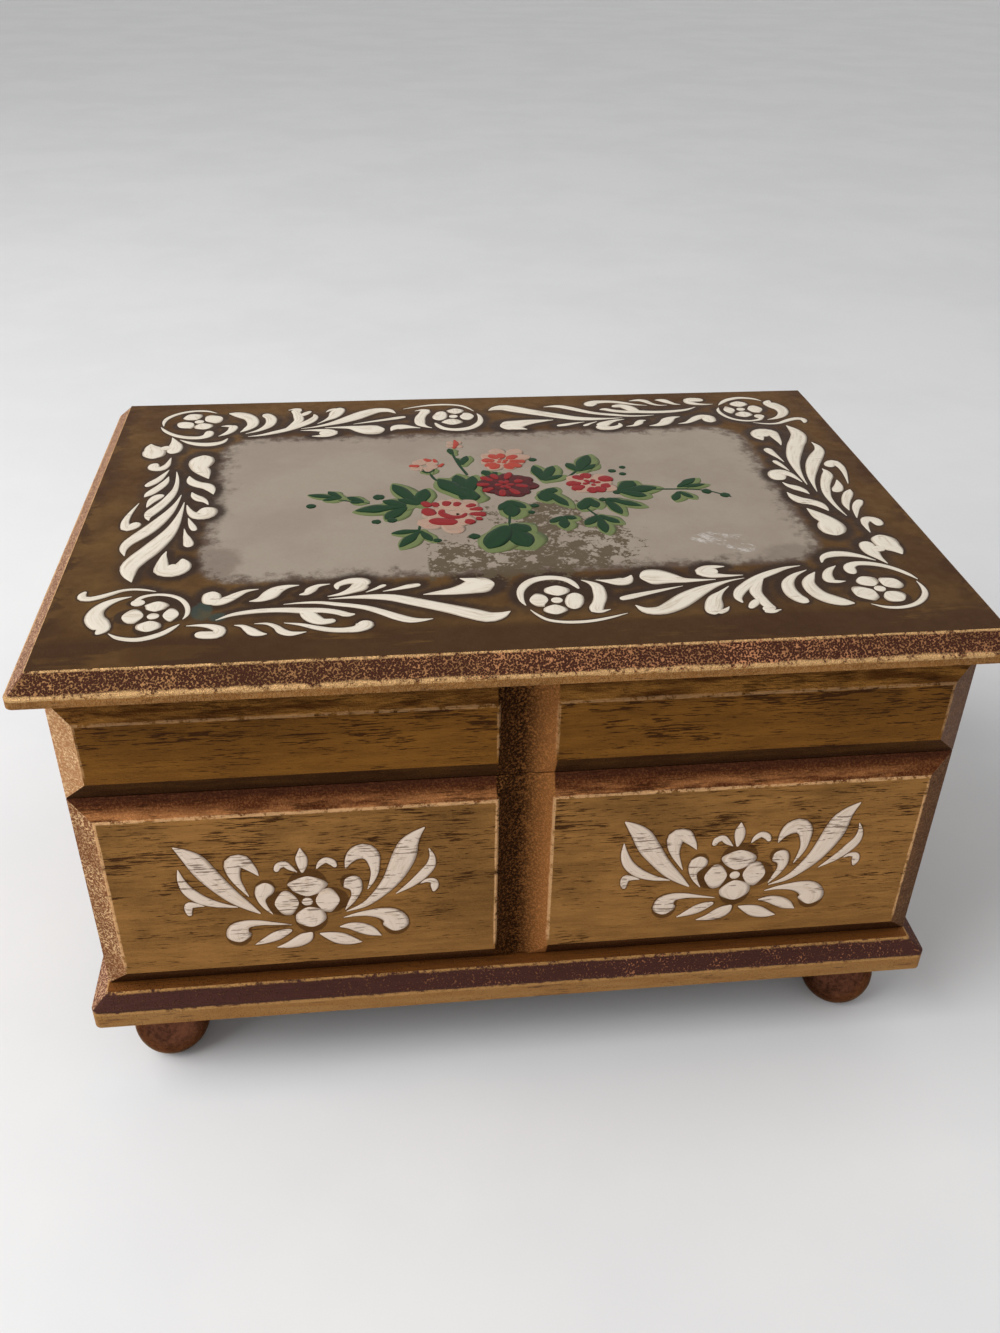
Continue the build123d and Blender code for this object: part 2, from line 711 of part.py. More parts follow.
crown_left = key_x - crown_radius
pinion_x = (crown_left + tooth_end_gap, crown_left + crown_tooth_length - tooth_end_gap)
right_bearing_x = left_of(pinion_x[0], bracket_thickness)
cylinder_x = left_of(right_bearing_x[0], cylinder_length)
wheel_x = left_of(cylinder_x[0], gear_width)
left_bearing_x = left_of(wheel_x[0], bracket_thickness)
outer_bearing_x = (fly_x - outer_bearing_gap - bracket_thickness, fly_x - outer_bearing_gap)
frame_post_left = fly_x + fly_radius + frame_post_gap
frame_post_x = (frame_post_left, frame_post_left + frame_post_width)
frame_foot_z = (bed_top, bed_top + frame_foot_thickness)
fly_z = (bed_top + fly_level, bed_top + fly_level + fly_height)
frame_arm_bottom = fly_z[1] + frame_arm_gap
frame_arm_z = (frame_arm_bottom, frame_arm_bottom + frame_arm_thickness)
drum_z = (bed_top + drum_foot_height, bed_top + drum_foot_height + drum_height)
bridge_bottom = drum_z[1] + bridge_gap
bridge_z = (bridge_bottom, bridge_bottom + bridge_thickness)
pillar_reach = crown_radius + pillar_radius + pillar_gap
pillar_side = pillar_reach * cos(radians(pillar_turn))
pillar_spread = pillar_reach * sin(radians(pillar_turn))
pillar_points = [(key_x + pillar_side, key_y + side * pillar_spread) for side in (-1, 1)]
pin_tip_radius = cylinder_radius + cylinder_pin_height
comb_tip_y = movement_y - pin_tip_radius - comb_tip_gap
comb_root_y = comb_tip_y - comb_length
comb_z = (axis_z - comb_thickness / 2, axis_z + comb_thickness / 2)
comb_base_y = (comb_root_y, comb_root_y + comb_base_depth)
comb_screw_y = sum(comb_base_y) / 2
comb_screw_points = [
    (cylinder_x[0] + comb_screw_inset, comb_screw_y), (cylinder_x[1] - comb_screw_inset, comb_screw_y)
]

# Bedplate: one casting with the comb's base and the bearing at the pinion end of the cylinder
bearing_top = axis_z + bearing_rise
arbor_hole_radius = arbor_radius + running_fit
winding_hole_radius = winding_arbor_radius + running_fit
comb_hole_radius = comb_screw_radius + running_fit
bearing_y = (movement_y - bearing_half_width, movement_y + bearing_half_width)
with BuildPart() as movement_bedplate:
    block(bed_x, bed_y, bed_z)
    fillet(movement_bedplate.edges().filter_by(Axis.Z), radius=bed_corner_radius)
    block(right_bearing_x, bearing_y, (bed_top, bearing_top))
    axle(past(right_bearing_x), movement_y, axis_z, arbor_hole_radius, Mode.SUBTRACT)
    block(cylinder_x, comb_base_y, (bed_top, comb_z[0]))
    for screw_x, screw_y in comb_screw_points:
        screw_hole_z = (comb_z[1] - comb_screw_length - seam, comb_z[0] + cut_past)
        post(screw_x, screw_y, screw_hole_z, comb_hole_radius, Mode.SUBTRACT)
    post(key_x, key_y, past(bed_z), winding_hole_radius, Mode.SUBTRACT)
    for screw_x, screw_y in mount_screw_points:
        post(screw_x, screw_y, past(bed_z), mount_screw_radius + screw_fit, Mode.SUBTRACT)
save(movement_bedplate, "movement_bedplate")

with BuildPart() as movement_screws:
    for screw_x, screw_y in mount_screw_points:
        head_top = foot_height + mount_screw_head_height
        post(screw_x, screw_y, (foot_height + mount_screw_sink, head_top), mount_screw_head_radius)
        post(screw_x, screw_y, (head_top, bed_z[1]), mount_screw_radius)
save(movement_screws, "movement_screws")

# Spring barrel: a drum with a floor, and a crown of teeth pointing up round its foot
crown_disc_top = axis_z - pinion_radius - tooth_addendum - tooth_clearance
crown_tooth_top = axis_z - pinion_radius + tooth_addendum
crown_tooth_width = tooth_share * pi * pinion_module
drum_inner_radius = drum_radius - drum_wall
with BuildPart() as spring_barrel:
    post(key_x, key_y, (drum_z[0], crown_disc_top), crown_radius)
    post(key_x, key_y, drum_z, drum_radius)
    post(key_x, key_y, (crown_disc_top, drum_z[1] + cut_past), drum_inner_radius, Mode.SUBTRACT)
    post(key_x, key_y, past(drum_z), winding_hole_radius, Mode.SUBTRACT)
    with Locations((key_x, key_y, (crown_disc_top + crown_tooth_top) / 2)):
        with PolarLocations(crown_radius - crown_tooth_length / 2, crown_teeth):
            Box(crown_tooth_length, crown_tooth_width, crown_tooth_top - crown_disc_top)
save(spring_barrel, "spring_barrel")

cap_z = (drum_z[1], drum_z[1] + barrel_cap_thickness)
with BuildPart() as barrel_cap:
    post(key_x, key_y, cap_z, drum_radius)
    post(key_x, key_y, past(cap_z), winding_hole_radius, Mode.SUBTRACT)
save(barrel_cap, "barrel_cap")

# Mainspring: a strip wound in half turns whose radius grows by half a pitch each time
coil_start = winding_arbor_radius + spring_inner_gap
coil_end = drum_inner_radius - seam
coil_step = (coil_end - coil_start) / (2 * spring_turns)
spring_z = (crown_disc_top + seam, drum_z[1] - seam)
with BuildPart() as mainspring:
    with BuildSketch(Plane.XY.offset(spring_z[0])):
        with BuildLine() as coil:
            for half_turn in range(2 * spring_turns):
                direction = 1 if half_turn % 2 == 0 else -1
                coil_radius = coil_start + coil_step * (half_turn + 0.5)
                coil_centre = key_x + direction * coil_step / 2
                ThreePointArc(
                    (coil_centre - direction * coil_radius, key_y),
                    (coil_centre, key_y + direction * coil_radius),
                    (coil_centre + direction * coil_radius, key_y),
                )
        trace(coil.line, line_width=spring_strip)
    extrude(amount=spring_z[1] - spring_z[0])
save(mainspring, "mainspring")

# Bridge over the barrel, on two pillars, that holds the top of the winding arbor
with BuildPart() as barrel_bridge:
    for pillar_x, pillar_y in pillar_points:
        post(pillar_x, pillar_y, (bed_top, bridge_z[1]), pillar_radius)
    with BuildSketch(Plane.XY.offset(bridge_z[0])):
        with BuildLine():
            Polyline(pillar_points[0], (key_x, key_y), pillar_points[1])
        trace(line_width=bridge_width)
    extrude(amount=bridge_thickness)
    post(key_x, key_y, past(bridge_z), winding_hole_radius, Mode.SUBTRACT)
save(barrel_bridge, "barrel_bridge")

# Winding arbor, with the winged key screwed on its lower end between the feet
wing_z = key_ground_gap + key_wing_height / 2
key_hub_z = (wing_z, wing_z + key_hub_length)
key_socket_bottom = key_hub_z[1] - key_socket_depth
with BuildPart() as winding_arbor:
    post(key_x, key_y, (key_socket_bottom, bridge_z[1] + winding_arbor_end), winding_arbor_radius)
save(winding_arbor, "winding_arbor")

with BuildPart() as winding_key:
    post(key_x, key_y, key_hub_z, key_hub_radius)
    wing_y = (key_y - key_wing_thickness / 2, key_y + key_wing_thickness / 2)
    with BuildSketch(Plane.XZ.offset(-wing_y[0])):
        with Locations((key_x, wing_z)):
            SlotCenterToCenter(key_wing_span - key_wing_height, key_wing_height)
    extrude(amount=-key_wing_thickness)
    post(key_x, key_y, (key_socket_bottom, key_hub_z[1] + cut_past), winding_arbor_radius, Mode.SUBTRACT)
save(winding_key, "winding_key")

# Pinned cylinder on its arbor, with the pinion at one end and the great wheel at the other
half_tooth_pinion = 180 / pinion_teeth
with BuildPart() as cylinder_arbor:
    axle((left_bearing_x[0] - arbor_stub, pinion_x[1]), movement_y, axis_z, arbor_radius)
    gear_blank(pinion_teeth, pinion_module, pinion_x, movement_y, axis_z, 270 + half_tooth_pinion)
    gear_blank(wheel_teeth, wheel_module, wheel_x, movement_y, axis_z, 0)
save(cylinder_arbor, "cylinder_arbor")

# The pins stand in rings, one ring under each tooth of the comb
comb_pitch = cylinder_length / (comb_tooth_count + 1)
turn_between_pins = 360 / pins_per_ring
pin_foot_radius = cylinder_radius - pin_sink
with BuildPart() as music_cylinder:
    axle(cylinder_x, movement_y, axis_z, cylinder_radius)
    axle(past(cylinder_x), movement_y, axis_z, arbor_radius, Mode.SUBTRACT)
    for ring in range(comb_tooth_count):
        ring_x = cylinder_x[0] + comb_pitch * (ring + 1)
        for pin in range(pins_per_ring):
            pin_turn = radians(ring * pin_ring_turn + pin * turn_between_pins)
            pin_direction = (0, cos(pin_turn), sin(pin_turn))
            pin_plane = Plane((ring_x, movement_y, axis_z), x_dir=(1, 0, 0), z_dir=pin_direction)
            with BuildSketch(pin_plane.offset(pin_foot_radius)) as pin_foot:
                Circle(cylinder_pin_radius)
            extrude(pin_foot.sketch, amount=pin_sink + cylinder_pin_height)
save(music_cylinder, "music_cylinder")

# Steel comb: one plate slotted into tuned teeth, on its base, held by two screws
with BuildPart() as comb:
    block(cylinder_x, (comb_root_y, comb_tip_y), comb_z)
    slot_y = (comb_tip_y - comb_slot_length, comb_tip_y + cut_past)
    slot_half = comb_pitch * comb_slot_share / 2
    for slot in range(comb_tooth_count + 1):
        slot_x = cylinder_x[0] + comb_pitch * (slot + 0.5)
        block((slot_x - slot_half, slot_x + slot_half), slot_y, past(comb_z), Mode.SUBTRACT)
    for screw_x, screw_y in comb_screw_points:
        post(screw_x, screw_y, past(comb_z), comb_hole_radius, Mode.SUBTRACT)
save(comb, "comb")

with BuildPart() as comb_screws:
    for screw_x, screw_y in comb_screw_points:
        post(screw_x, screw_y, (comb_z[1] - comb_screw_length, comb_z[1]), comb_screw_radius)
        post(screw_x, screw_y, (comb_z[1], comb_z[1] + comb_screw_head_height), comb_screw_head_radius)
save(comb_screws, "comb_screws")

# Governor frame: one casting with a foot, two bearing plates, a post and an arm over the fly
train_front = train_y - bearing_half_width
frame_end = fly_y + frame_end_reach
bearing_z = (bed_top, bearing_top)
pivot_z = (bed_top + frame_foot_thickness - pivot_sink, frame_arm_z[1])
pivot_hole_radius = worm_pivot_radius + running_fit
frame_arm_y = (fly_y - frame_arm_half_width, fly_y + frame_arm_half_width)
with BuildPart() as governor_frame:
    block((outer_bearing_x[0], frame_post_x[1]), (train_front, frame_end), frame_foot_z)
    block(outer_bearing_x, (train_front, train_y + frame_side_reach), bearing_z)
    block(left_bearing_x, (bearing_y[0], train_y + frame_side_reach), bearing_z)
    block(frame_post_x, (fly_y - frame_side_reach, frame_end), (bed_top, frame_arm_z[1]))
    block((fly_x - frame_side_reach, frame_post_x[1]), frame_arm_y, frame_arm_z)
    train_hole_x = past((outer_bearing_x[0], left_bearing_x[1]))
    axle(train_hole_x, train_y, axis_z, arbor_hole_radius, Mode.SUBTRACT)
    axle(past(left_bearing_x), movement_y, axis_z, arbor_hole_radius, Mode.SUBTRACT)
    post(fly_x, fly_y, (pivot_z[0], pivot_z[1] + cut_past), pivot_hole_radius, Mode.SUBTRACT)
save(governor_frame, "governor_frame")

# Train arbor: a pinion driven by the great wheel, and the worm wheel
worm_wheel_x = (fly_x - worm_wheel_width / 2, fly_x + worm_wheel_width / 2)
half_tooth_train = 180 / train_pinion_teeth
with BuildPart() as train_arbor:
    axle((outer_bearing_x[0] - arbor_stub, wheel_x[1] + arbor_stub), train_y, axis_z, arbor_radius)
    gear_blank(train_pinion_teeth, wheel_module, wheel_x, train_y, axis_z, 180 + half_tooth_train)
    gear_blank(worm_wheel_teeth, worm_module, worm_wheel_x, train_y, axis_z, 0)
save(train_arbor, "train_arbor")

# Governor: an upright right-hand worm with two starts, and the fly that it spins
worm_pitch = pi * worm_module
worm_lead = worm_pitch * worm_starts
worm_root = worm_radius - tooth_addendum - tooth_clearance
thread_half = tooth_share * worm_pitch / 2
thread_tip_half = thread_half * thread_tip_share
thread_sunk = worm_root - thread_sink
thread_tip = worm_radius + tooth_addendum
thread_height = worm_length * worm_pitch
worm_start_z = axis_z - thread_height / 2
with BuildPart() as governor_worm:
    post(fly_x, fly_y, pivot_z, worm_pivot_radius)
    post(fly_x, fly_y, (frame_foot_z[1] + worm_end_gap, fly_z[0]), worm_root)
    for start in range(worm_starts):
        thread_foot = Vector(fly_x, fly_y, worm_start_z)
        thread_side = Vector(1, 0, 0).rotate(Axis.Z, 360 * start / worm_starts)
        thread_plane = Plane(thread_foot, x_dir=thread_side, z_dir=(0, 0, 1))
        with BuildLine(thread_plane):
            thread_path = Helix(pitch=worm_lead, height=thread_height, radius=worm_root)
        section_normal = thread_side.cross(Vector(0, 0, 1))
        with BuildSketch(Plane(thread_foot, x_dir=thread_side, z_dir=section_normal)) as thread:
            Polygon(
                (thread_sunk, -thread_half), (thread_tip, -thread_tip_half),
                (thread_tip, thread_tip_half), (thread_sunk, thread_half), align=None,
            )
        sweep(thread.sketch, path=thread_path, is_frenet=True)
save(governor_worm, "governor_worm")

vane_x = (fly_x - fly_radius + fly_vane_inset, fly_x + fly_radius - fly_vane_inset)
vane_y = (fly_y - fly_vane_thickness / 2, fly_y + fly_vane_thickness / 2)
with BuildPart() as fly:
    post(fly_x, fly_y, fly_z, fly_hub_radius)
    post(fly_x, fly_y, (fly_z[1] - fly_disc_thickness, fly_z[1]), fly_radius)
    block(vane_x, vane_y, fly_z)
    post(fly_x, fly_y, past(fly_z), worm_pivot_radius, Mode.SUBTRACT)
save(fly, "fly")

# Stop rod: the closed lid holds it down, so that its bent foot brakes the fly
rod_foot_z = (fly_z[1] + brake_gap, fly_z[1] + brake_gap + 2 * rod_foot_radius)
rod_foot_end = fly_x - fly_radius + rod_tip_lap
collar_bottom = rod_shelf_level + rod_spring_length
collar_z = (collar_bottom, collar_bottom + rod_collar_height)
with BuildPart() as stop_rod:
    post(rod_x, rod_y, (rod_foot_z[0], case_top), rod_radius)
    post(rod_x, rod_y, collar_z, rod_collar_radius)
    axle((rod_x, rod_foot_end), rod_y, sum(rod_foot_z) / 2, rod_foot_radius)
save(stop_rod, "stop_rod")

# Bracket on the back panel that guides the rod and carries its spring
rod_bracket_x = (guide_x[0] + rod_bracket_inset, guide_x[1])
rod_bracket_back = (inner_back - bracket_thickness, inner_back)
shelf_y = (rod_y - rod_guide_width / 2, inner_back)
shelf_z = (rod_shelf_level - bracket_thickness, rod_shelf_level)
with BuildPart() as rod_bracket:
    block(rod_bracket_x, rod_bracket_back, (rod_shelf_level - rod_bracket_height, rod_shelf_level))
    block(rod_bracket_x, shelf_y, shelf_z)
    post(rod_x, rod_y, past(shelf_z), rod_radius + running_fit, Mode.SUBTRACT)
    for screw_x in bracket_screw_x:
        across(past(rod_bracket_back), screw_x, bracket_screw_z, bracket_screw_hole, Mode.SUBTRACT)
save(rod_bracket, "rod_bracket")

with BuildPart() as rod_bracket_screws:
    for screw_x in bracket_screw_x:
        bracket_head_y = (rod_bracket_back[0] - bracket_screw_head_height, rod_bracket_back[0])
        across(bracket_head_y, screw_x, bracket_screw_z, bracket_screw_head_radius)
        across((rod_bracket_back[0], bracket_screw_tip), screw_x, bracket_screw_z, bracket_screw_radius)
save(rod_bracket_screws, "rod_bracket_screws")

# Spring under the collar, which lifts the rod when the lid opens
coil_height = rod_spring_length - 2 * rod_spring_wire
coil_pitch = coil_height / rod_spring_turns
with BuildPart() as rod_spring:
    coil_plane = Plane((rod_x, rod_y, rod_shelf_level + rod_spring_wire))
    with BuildLine(coil_plane):
        coil_path = Helix(pitch=coil_pitch, height=coil_height, radius=rod_spring_radius)
    with BuildSketch(Plane(coil_path @ 0, z_dir=coil_path % 0)) as coil_wire:
        Circle(rod_spring_wire)
    sweep(coil_wire.sketch, path=coil_path, is_frenet=True)
save(rod_spring, "rod_spring")
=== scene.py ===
"""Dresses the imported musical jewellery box: gilded and painted boards, hand-painted scrolls and
flowers, velvet linings, woods and metals, with its floor, light and camera."""

import json
import logging
import math
from dataclasses import dataclass, field
from enum import Enum
from functools import cached_property
from typing import ClassVar, Iterable, Optional, Sequence, Union

import bmesh
import bpy
import numpy as np
from mathutils import Matrix, Vector

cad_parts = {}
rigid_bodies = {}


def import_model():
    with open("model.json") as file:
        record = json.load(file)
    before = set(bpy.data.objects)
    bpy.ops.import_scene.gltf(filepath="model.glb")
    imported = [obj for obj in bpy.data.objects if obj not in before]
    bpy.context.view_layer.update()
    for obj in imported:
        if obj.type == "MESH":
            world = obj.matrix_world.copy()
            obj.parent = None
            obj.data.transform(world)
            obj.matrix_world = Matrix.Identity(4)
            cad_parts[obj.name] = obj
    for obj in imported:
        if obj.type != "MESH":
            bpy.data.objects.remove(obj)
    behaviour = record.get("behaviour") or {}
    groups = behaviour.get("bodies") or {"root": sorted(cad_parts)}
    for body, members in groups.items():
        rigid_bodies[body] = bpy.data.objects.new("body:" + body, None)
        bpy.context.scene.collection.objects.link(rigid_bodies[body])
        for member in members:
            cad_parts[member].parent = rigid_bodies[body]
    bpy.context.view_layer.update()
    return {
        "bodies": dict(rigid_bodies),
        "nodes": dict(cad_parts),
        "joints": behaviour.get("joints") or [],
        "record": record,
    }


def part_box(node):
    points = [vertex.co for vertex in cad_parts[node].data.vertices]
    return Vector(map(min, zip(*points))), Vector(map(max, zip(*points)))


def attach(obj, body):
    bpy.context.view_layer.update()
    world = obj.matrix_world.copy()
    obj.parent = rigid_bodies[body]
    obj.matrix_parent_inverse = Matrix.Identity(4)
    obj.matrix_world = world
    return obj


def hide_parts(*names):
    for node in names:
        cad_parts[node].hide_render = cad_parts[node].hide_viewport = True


log = logging.getLogger("music_box")

MM = 0.001
FULL_LEVEL = 255
LINEAR_BELOW, LINEAR_SLOPE, CURVE_OFFSET, CURVE_POWER = 0.04045, 12.92, 0.055, 2.4

Colour = tuple[float, float, float, float]
ColourPair = tuple[Colour, Colour]
Corner = tuple[float, float, float]
Pair = tuple[float, float]
Row = tuple[float, ...]
Node, Socket, Tree = bpy.types.Node, bpy.types.NodeSocket, bpy.types.NodeTree
Source = Union[Socket, float, Sequence[float], None]


class Slot(Enum):
    """The record's material slots."""

    GILT = "gilt_wood"
    PAINTED = "painted_lid"
    BRONZED = "bronzed_wood"
    BARE = "bare_wood"
    PLYWOOD = "plywood"
    VELVET = "velvet"
    MIRROR = "mirror"
    BRASS = "brass"
    STEEL = "steel"


def tint(red: int, green: int, blue: int) -> Colour:
    """A displayed colour made linear for a shader.

    Args:
        red, green, blue: the displayed levels, 0 to 255.

    Returns:
        The linear colour with full opacity.
    """
    shares = np.array([red, green, blue]) / FULL_LEVEL
    curved = ((shares + CURVE_OFFSET) / (1 + CURVE_OFFSET)) ** CURVE_POWER
    return (*np.where(shares <= LINEAR_BELOW, shares / LINEAR_SLOPE, curved).tolist(), 1.0)


def shade(colour: Colour, factor: float) -> Colour:
    """The colour made darker or brighter by a factor, and still opaque."""
    return (*(min(1.0, factor * part) for part in colour[:3]), 1.0)


class Graph:
    """Adds shader nodes to one tree and wires them together.

    The nodes are set out in rows with that many columns and that spacing. The mix inputs are the places of the
    Mix node's factor and its two colours among its inputs, and the mix output that of its colour.
    """

    COLUMNS: ClassVar[int] = 12
    SPACING: ClassVar[tuple[int, int]] = (190, -260)
    MIX_INPUTS: ClassVar[tuple[int, ...]] = (0, 6, 7)
    MIX_OUTPUT: ClassVar[int] = 2

    def __init__(self, tree: Tree) -> None:
        """Works on tree."""
        self.tree = tree

    def node(self, kind: str, **settings: object) -> Node:
        """Adds a node of that kind with its settings.

        Args:
            kind: its type.
            settings: its settings by name.

        Returns:
            The node.
        """
        made = self.tree.nodes.new(kind)
        row, column = divmod(len(self.tree.nodes), self.COLUMNS)
        made.location = (self.SPACING[0] * column, self.SPACING[1] * row)
        for name, value in settings.items():
            setattr(made, name, value)
        return made

    def feed(self, socket: Socket, source: Source) -> None:
        """Wires source into socket where it is one, and else sets it as the socket's value."""
        if isinstance(source, Socket):
            self.tree.links.new(source, socket)
        elif source is not None:
            socket.default_value = source

    def fed(self, made: Node, *values: Source) -> Socket:
        """Feeds a node's inputs in order and gives its first output."""
        for socket, value in zip(made.inputs, values):
            self.feed(socket, value)
        return made.outputs[0]

    def maths(self, operation: str, *values: Source) -> Socket:
        """The result of one Math node on up to three values."""
        return self.fed(self.node("ShaderNodeMath", operation=operation), *values)

    def plus(self, first: Source, second: Source) -> Socket:
        """The sum."""
        return self.maths("ADD", first, second)

    def minus(self, first: Source, second: Source) -> Socket:
        """The difference."""
        return self.maths("SUBTRACT", first, second)

    def times(self, first: Source, second: Source) -> Socket:
        """The product."""
        return self.maths("MULTIPLY", first, second)

    def scaled(self, value: Source, factor: Source, offset: Source) -> Socket:
        """The value times a factor, plus an offset."""
        return self.maths("MULTIPLY_ADD", value, factor, offset)

    def most(self, first: Source, second: Source) -> Socket:
        """The larger one."""
        return self.maths("MAXIMUM", first, second)

    def least(self, first: Source, second: Source) -> Socket:
        """The smaller one."""
        return self.maths("MINIMUM", first, second)

    def absolute(self, value: Source) -> Socket:
        """The value without its sign."""
        return self.maths("ABSOLUTE", value)

    def vector(self, operation: str, *values: Source) -> Socket:
        """The result of one Vector Math node."""
        return self.fed(self.node("ShaderNodeVectorMath", operation=operation), *values)

    def ease(self, value: Source, low: float, high: float) -> Socket:
        """A soft step: 0 at low, 1 at high, and the other way round where high is the lower one."""
        return self.fed(self.node("ShaderNodeMapRange", interpolation_type="SMOOTHSTEP"), value, low, high)

    def mix(self, share: Source, first: Source, second: Source) -> Socket:
        """The colour that goes from first to second as share goes from 0 to 1."""
        made = self.node("ShaderNodeMix", data_type="RGBA")
        for index, value in zip(self.MIX_INPUTS, (share, first, second)):
            self.feed(made.inputs[index], value)
        return made.outputs[self.MIX_OUTPUT]

    def over(self, base: Source, mask: Source, strength: Source, top: Source) -> Socket:
        """The base with a colour laid over it where the mask is 1, at that strength."""
        return self.mix(self.times(mask, strength), base, top)

    def coated(self, base: Source, *coats: tuple[Source, Source, Source]) -> Source:
        """The base with coats laid over it in turn.

        Args:
            base: the colour underneath.
            coats: the mask, the strength and the colour of each.

        Returns:
            The colour that shows.
        """
        for coat in coats:
            base = self.over(base, *coat)
        return base

    def noise(self, vector: Source, scale: Source, detail: float = 3, roughness: float = 0.55,
              distortion: float = 0) -> Socket:
        """Fractal noise, around a half.

        Args:
            vector: the place.
            scale: how many waves lie in a unit of it.
            detail, roughness, distortion: the node's own settings.

        Returns:
            The noise.
        """
        made = self.node("ShaderNodeTexNoise")
        for name, given in (("Vector", vector), ("Scale", scale), ("Detail", detail),
                            ("Roughness", roughness), ("Distortion", distortion)):
            self.feed(made.inputs[name], given)
        return made.outputs[0]

    def stretched(self, vector: Source, scale: Sequence[float], detail: float = 3, roughness: float = 0.6,
                  distortion: float = 0) -> Socket:
        """Fractal noise with a scale of its own along each axis."""
        return self.noise(self.vector("MULTIPLY", vector, scale), 1.0, detail, roughness, distortion)

    def cells(self, vector: Source, scale: Source) -> Socket:
        """The distance within the cells of a Voronoi pattern."""
        made = self.node("ShaderNodeTexVoronoi")
        self.feed(made.inputs["Vector"], vector)
        self.feed(made.inputs["Scale"], scale)
        return made.outputs["Distance"]

    def place(self) -> Socket:
        """The point's place on the object in millimetres."""
        return self.vector("MULTIPLY", self.node("ShaderNodeTexCoord").outputs["Object"], (1 / MM,) * 3)

    def facing(self) -> Socket:
        """The surface's normal in the object's own axes."""
        return self.node("ShaderNodeTexCoord").outputs["Normal"]

    def turned(self, vector: Source, scale: Sequence[float], turn: Sequence[float]) -> Socket:
        """vector turned, by angles in degrees, and then stretched for a pattern.

        Args:
            vector: the place.
            scale: the stretch along each axis.
            turn: the angles.

        Returns:
            The new place.
        """
        made = self.node("ShaderNodeMapping", vector_type="TEXTURE")
        self.feed(made.inputs["Vector"], vector)
        made.inputs["Rotation"].default_value = [math.radians(angle) for angle in turn]
        made.inputs["Scale"].default_value = scale
        return made.outputs[0]

    def split(self, vector: Source) -> tuple[Socket, ...]:
        """The three parts of a vector."""
        made = self.node("ShaderNodeSeparateXYZ")
        self.feed(made.inputs[0], vector)
        return tuple(made.outputs)

    def join(self, x: Source, y: Source, z: Source) -> Socket:
        """A vector from its three parts."""
        return self.fed(self.node("ShaderNodeCombineXYZ"), x, y, z)

    def fact(self, name: str) -> tuple[Socket, ...]:
        """The three parts of a vector that the piece's own mesh holds."""
        return self.split(self.node("ShaderNodeAttribute", attribute_name=name).outputs["Vector"])

    def use(self, tree: Tree, **values: Source) -> dict[str, Socket]:
        """Places a node group.

        Args:
            tree: the group.
            values: its inputs by name, with _ for a space.

        Returns:
            Its outputs by name.
        """
        made = self.node("ShaderNodeGroup", node_tree=tree)
        for name, value in values.items():
            self.feed(made.inputs[name.replace("_", " ")], value)
        return {socket.name: socket for socket in made.outputs}

    def bump(self, height: Source, depth_mm: float) -> Socket:
        """A normal tilted by a height from 0 to 1 that stands for depth_mm."""
        made = self.node("ShaderNodeBump")
        made.inputs["Distance"].default_value = depth_mm * MM
        self.feed(made.inputs["Height"], height)
        return made.outputs[0]


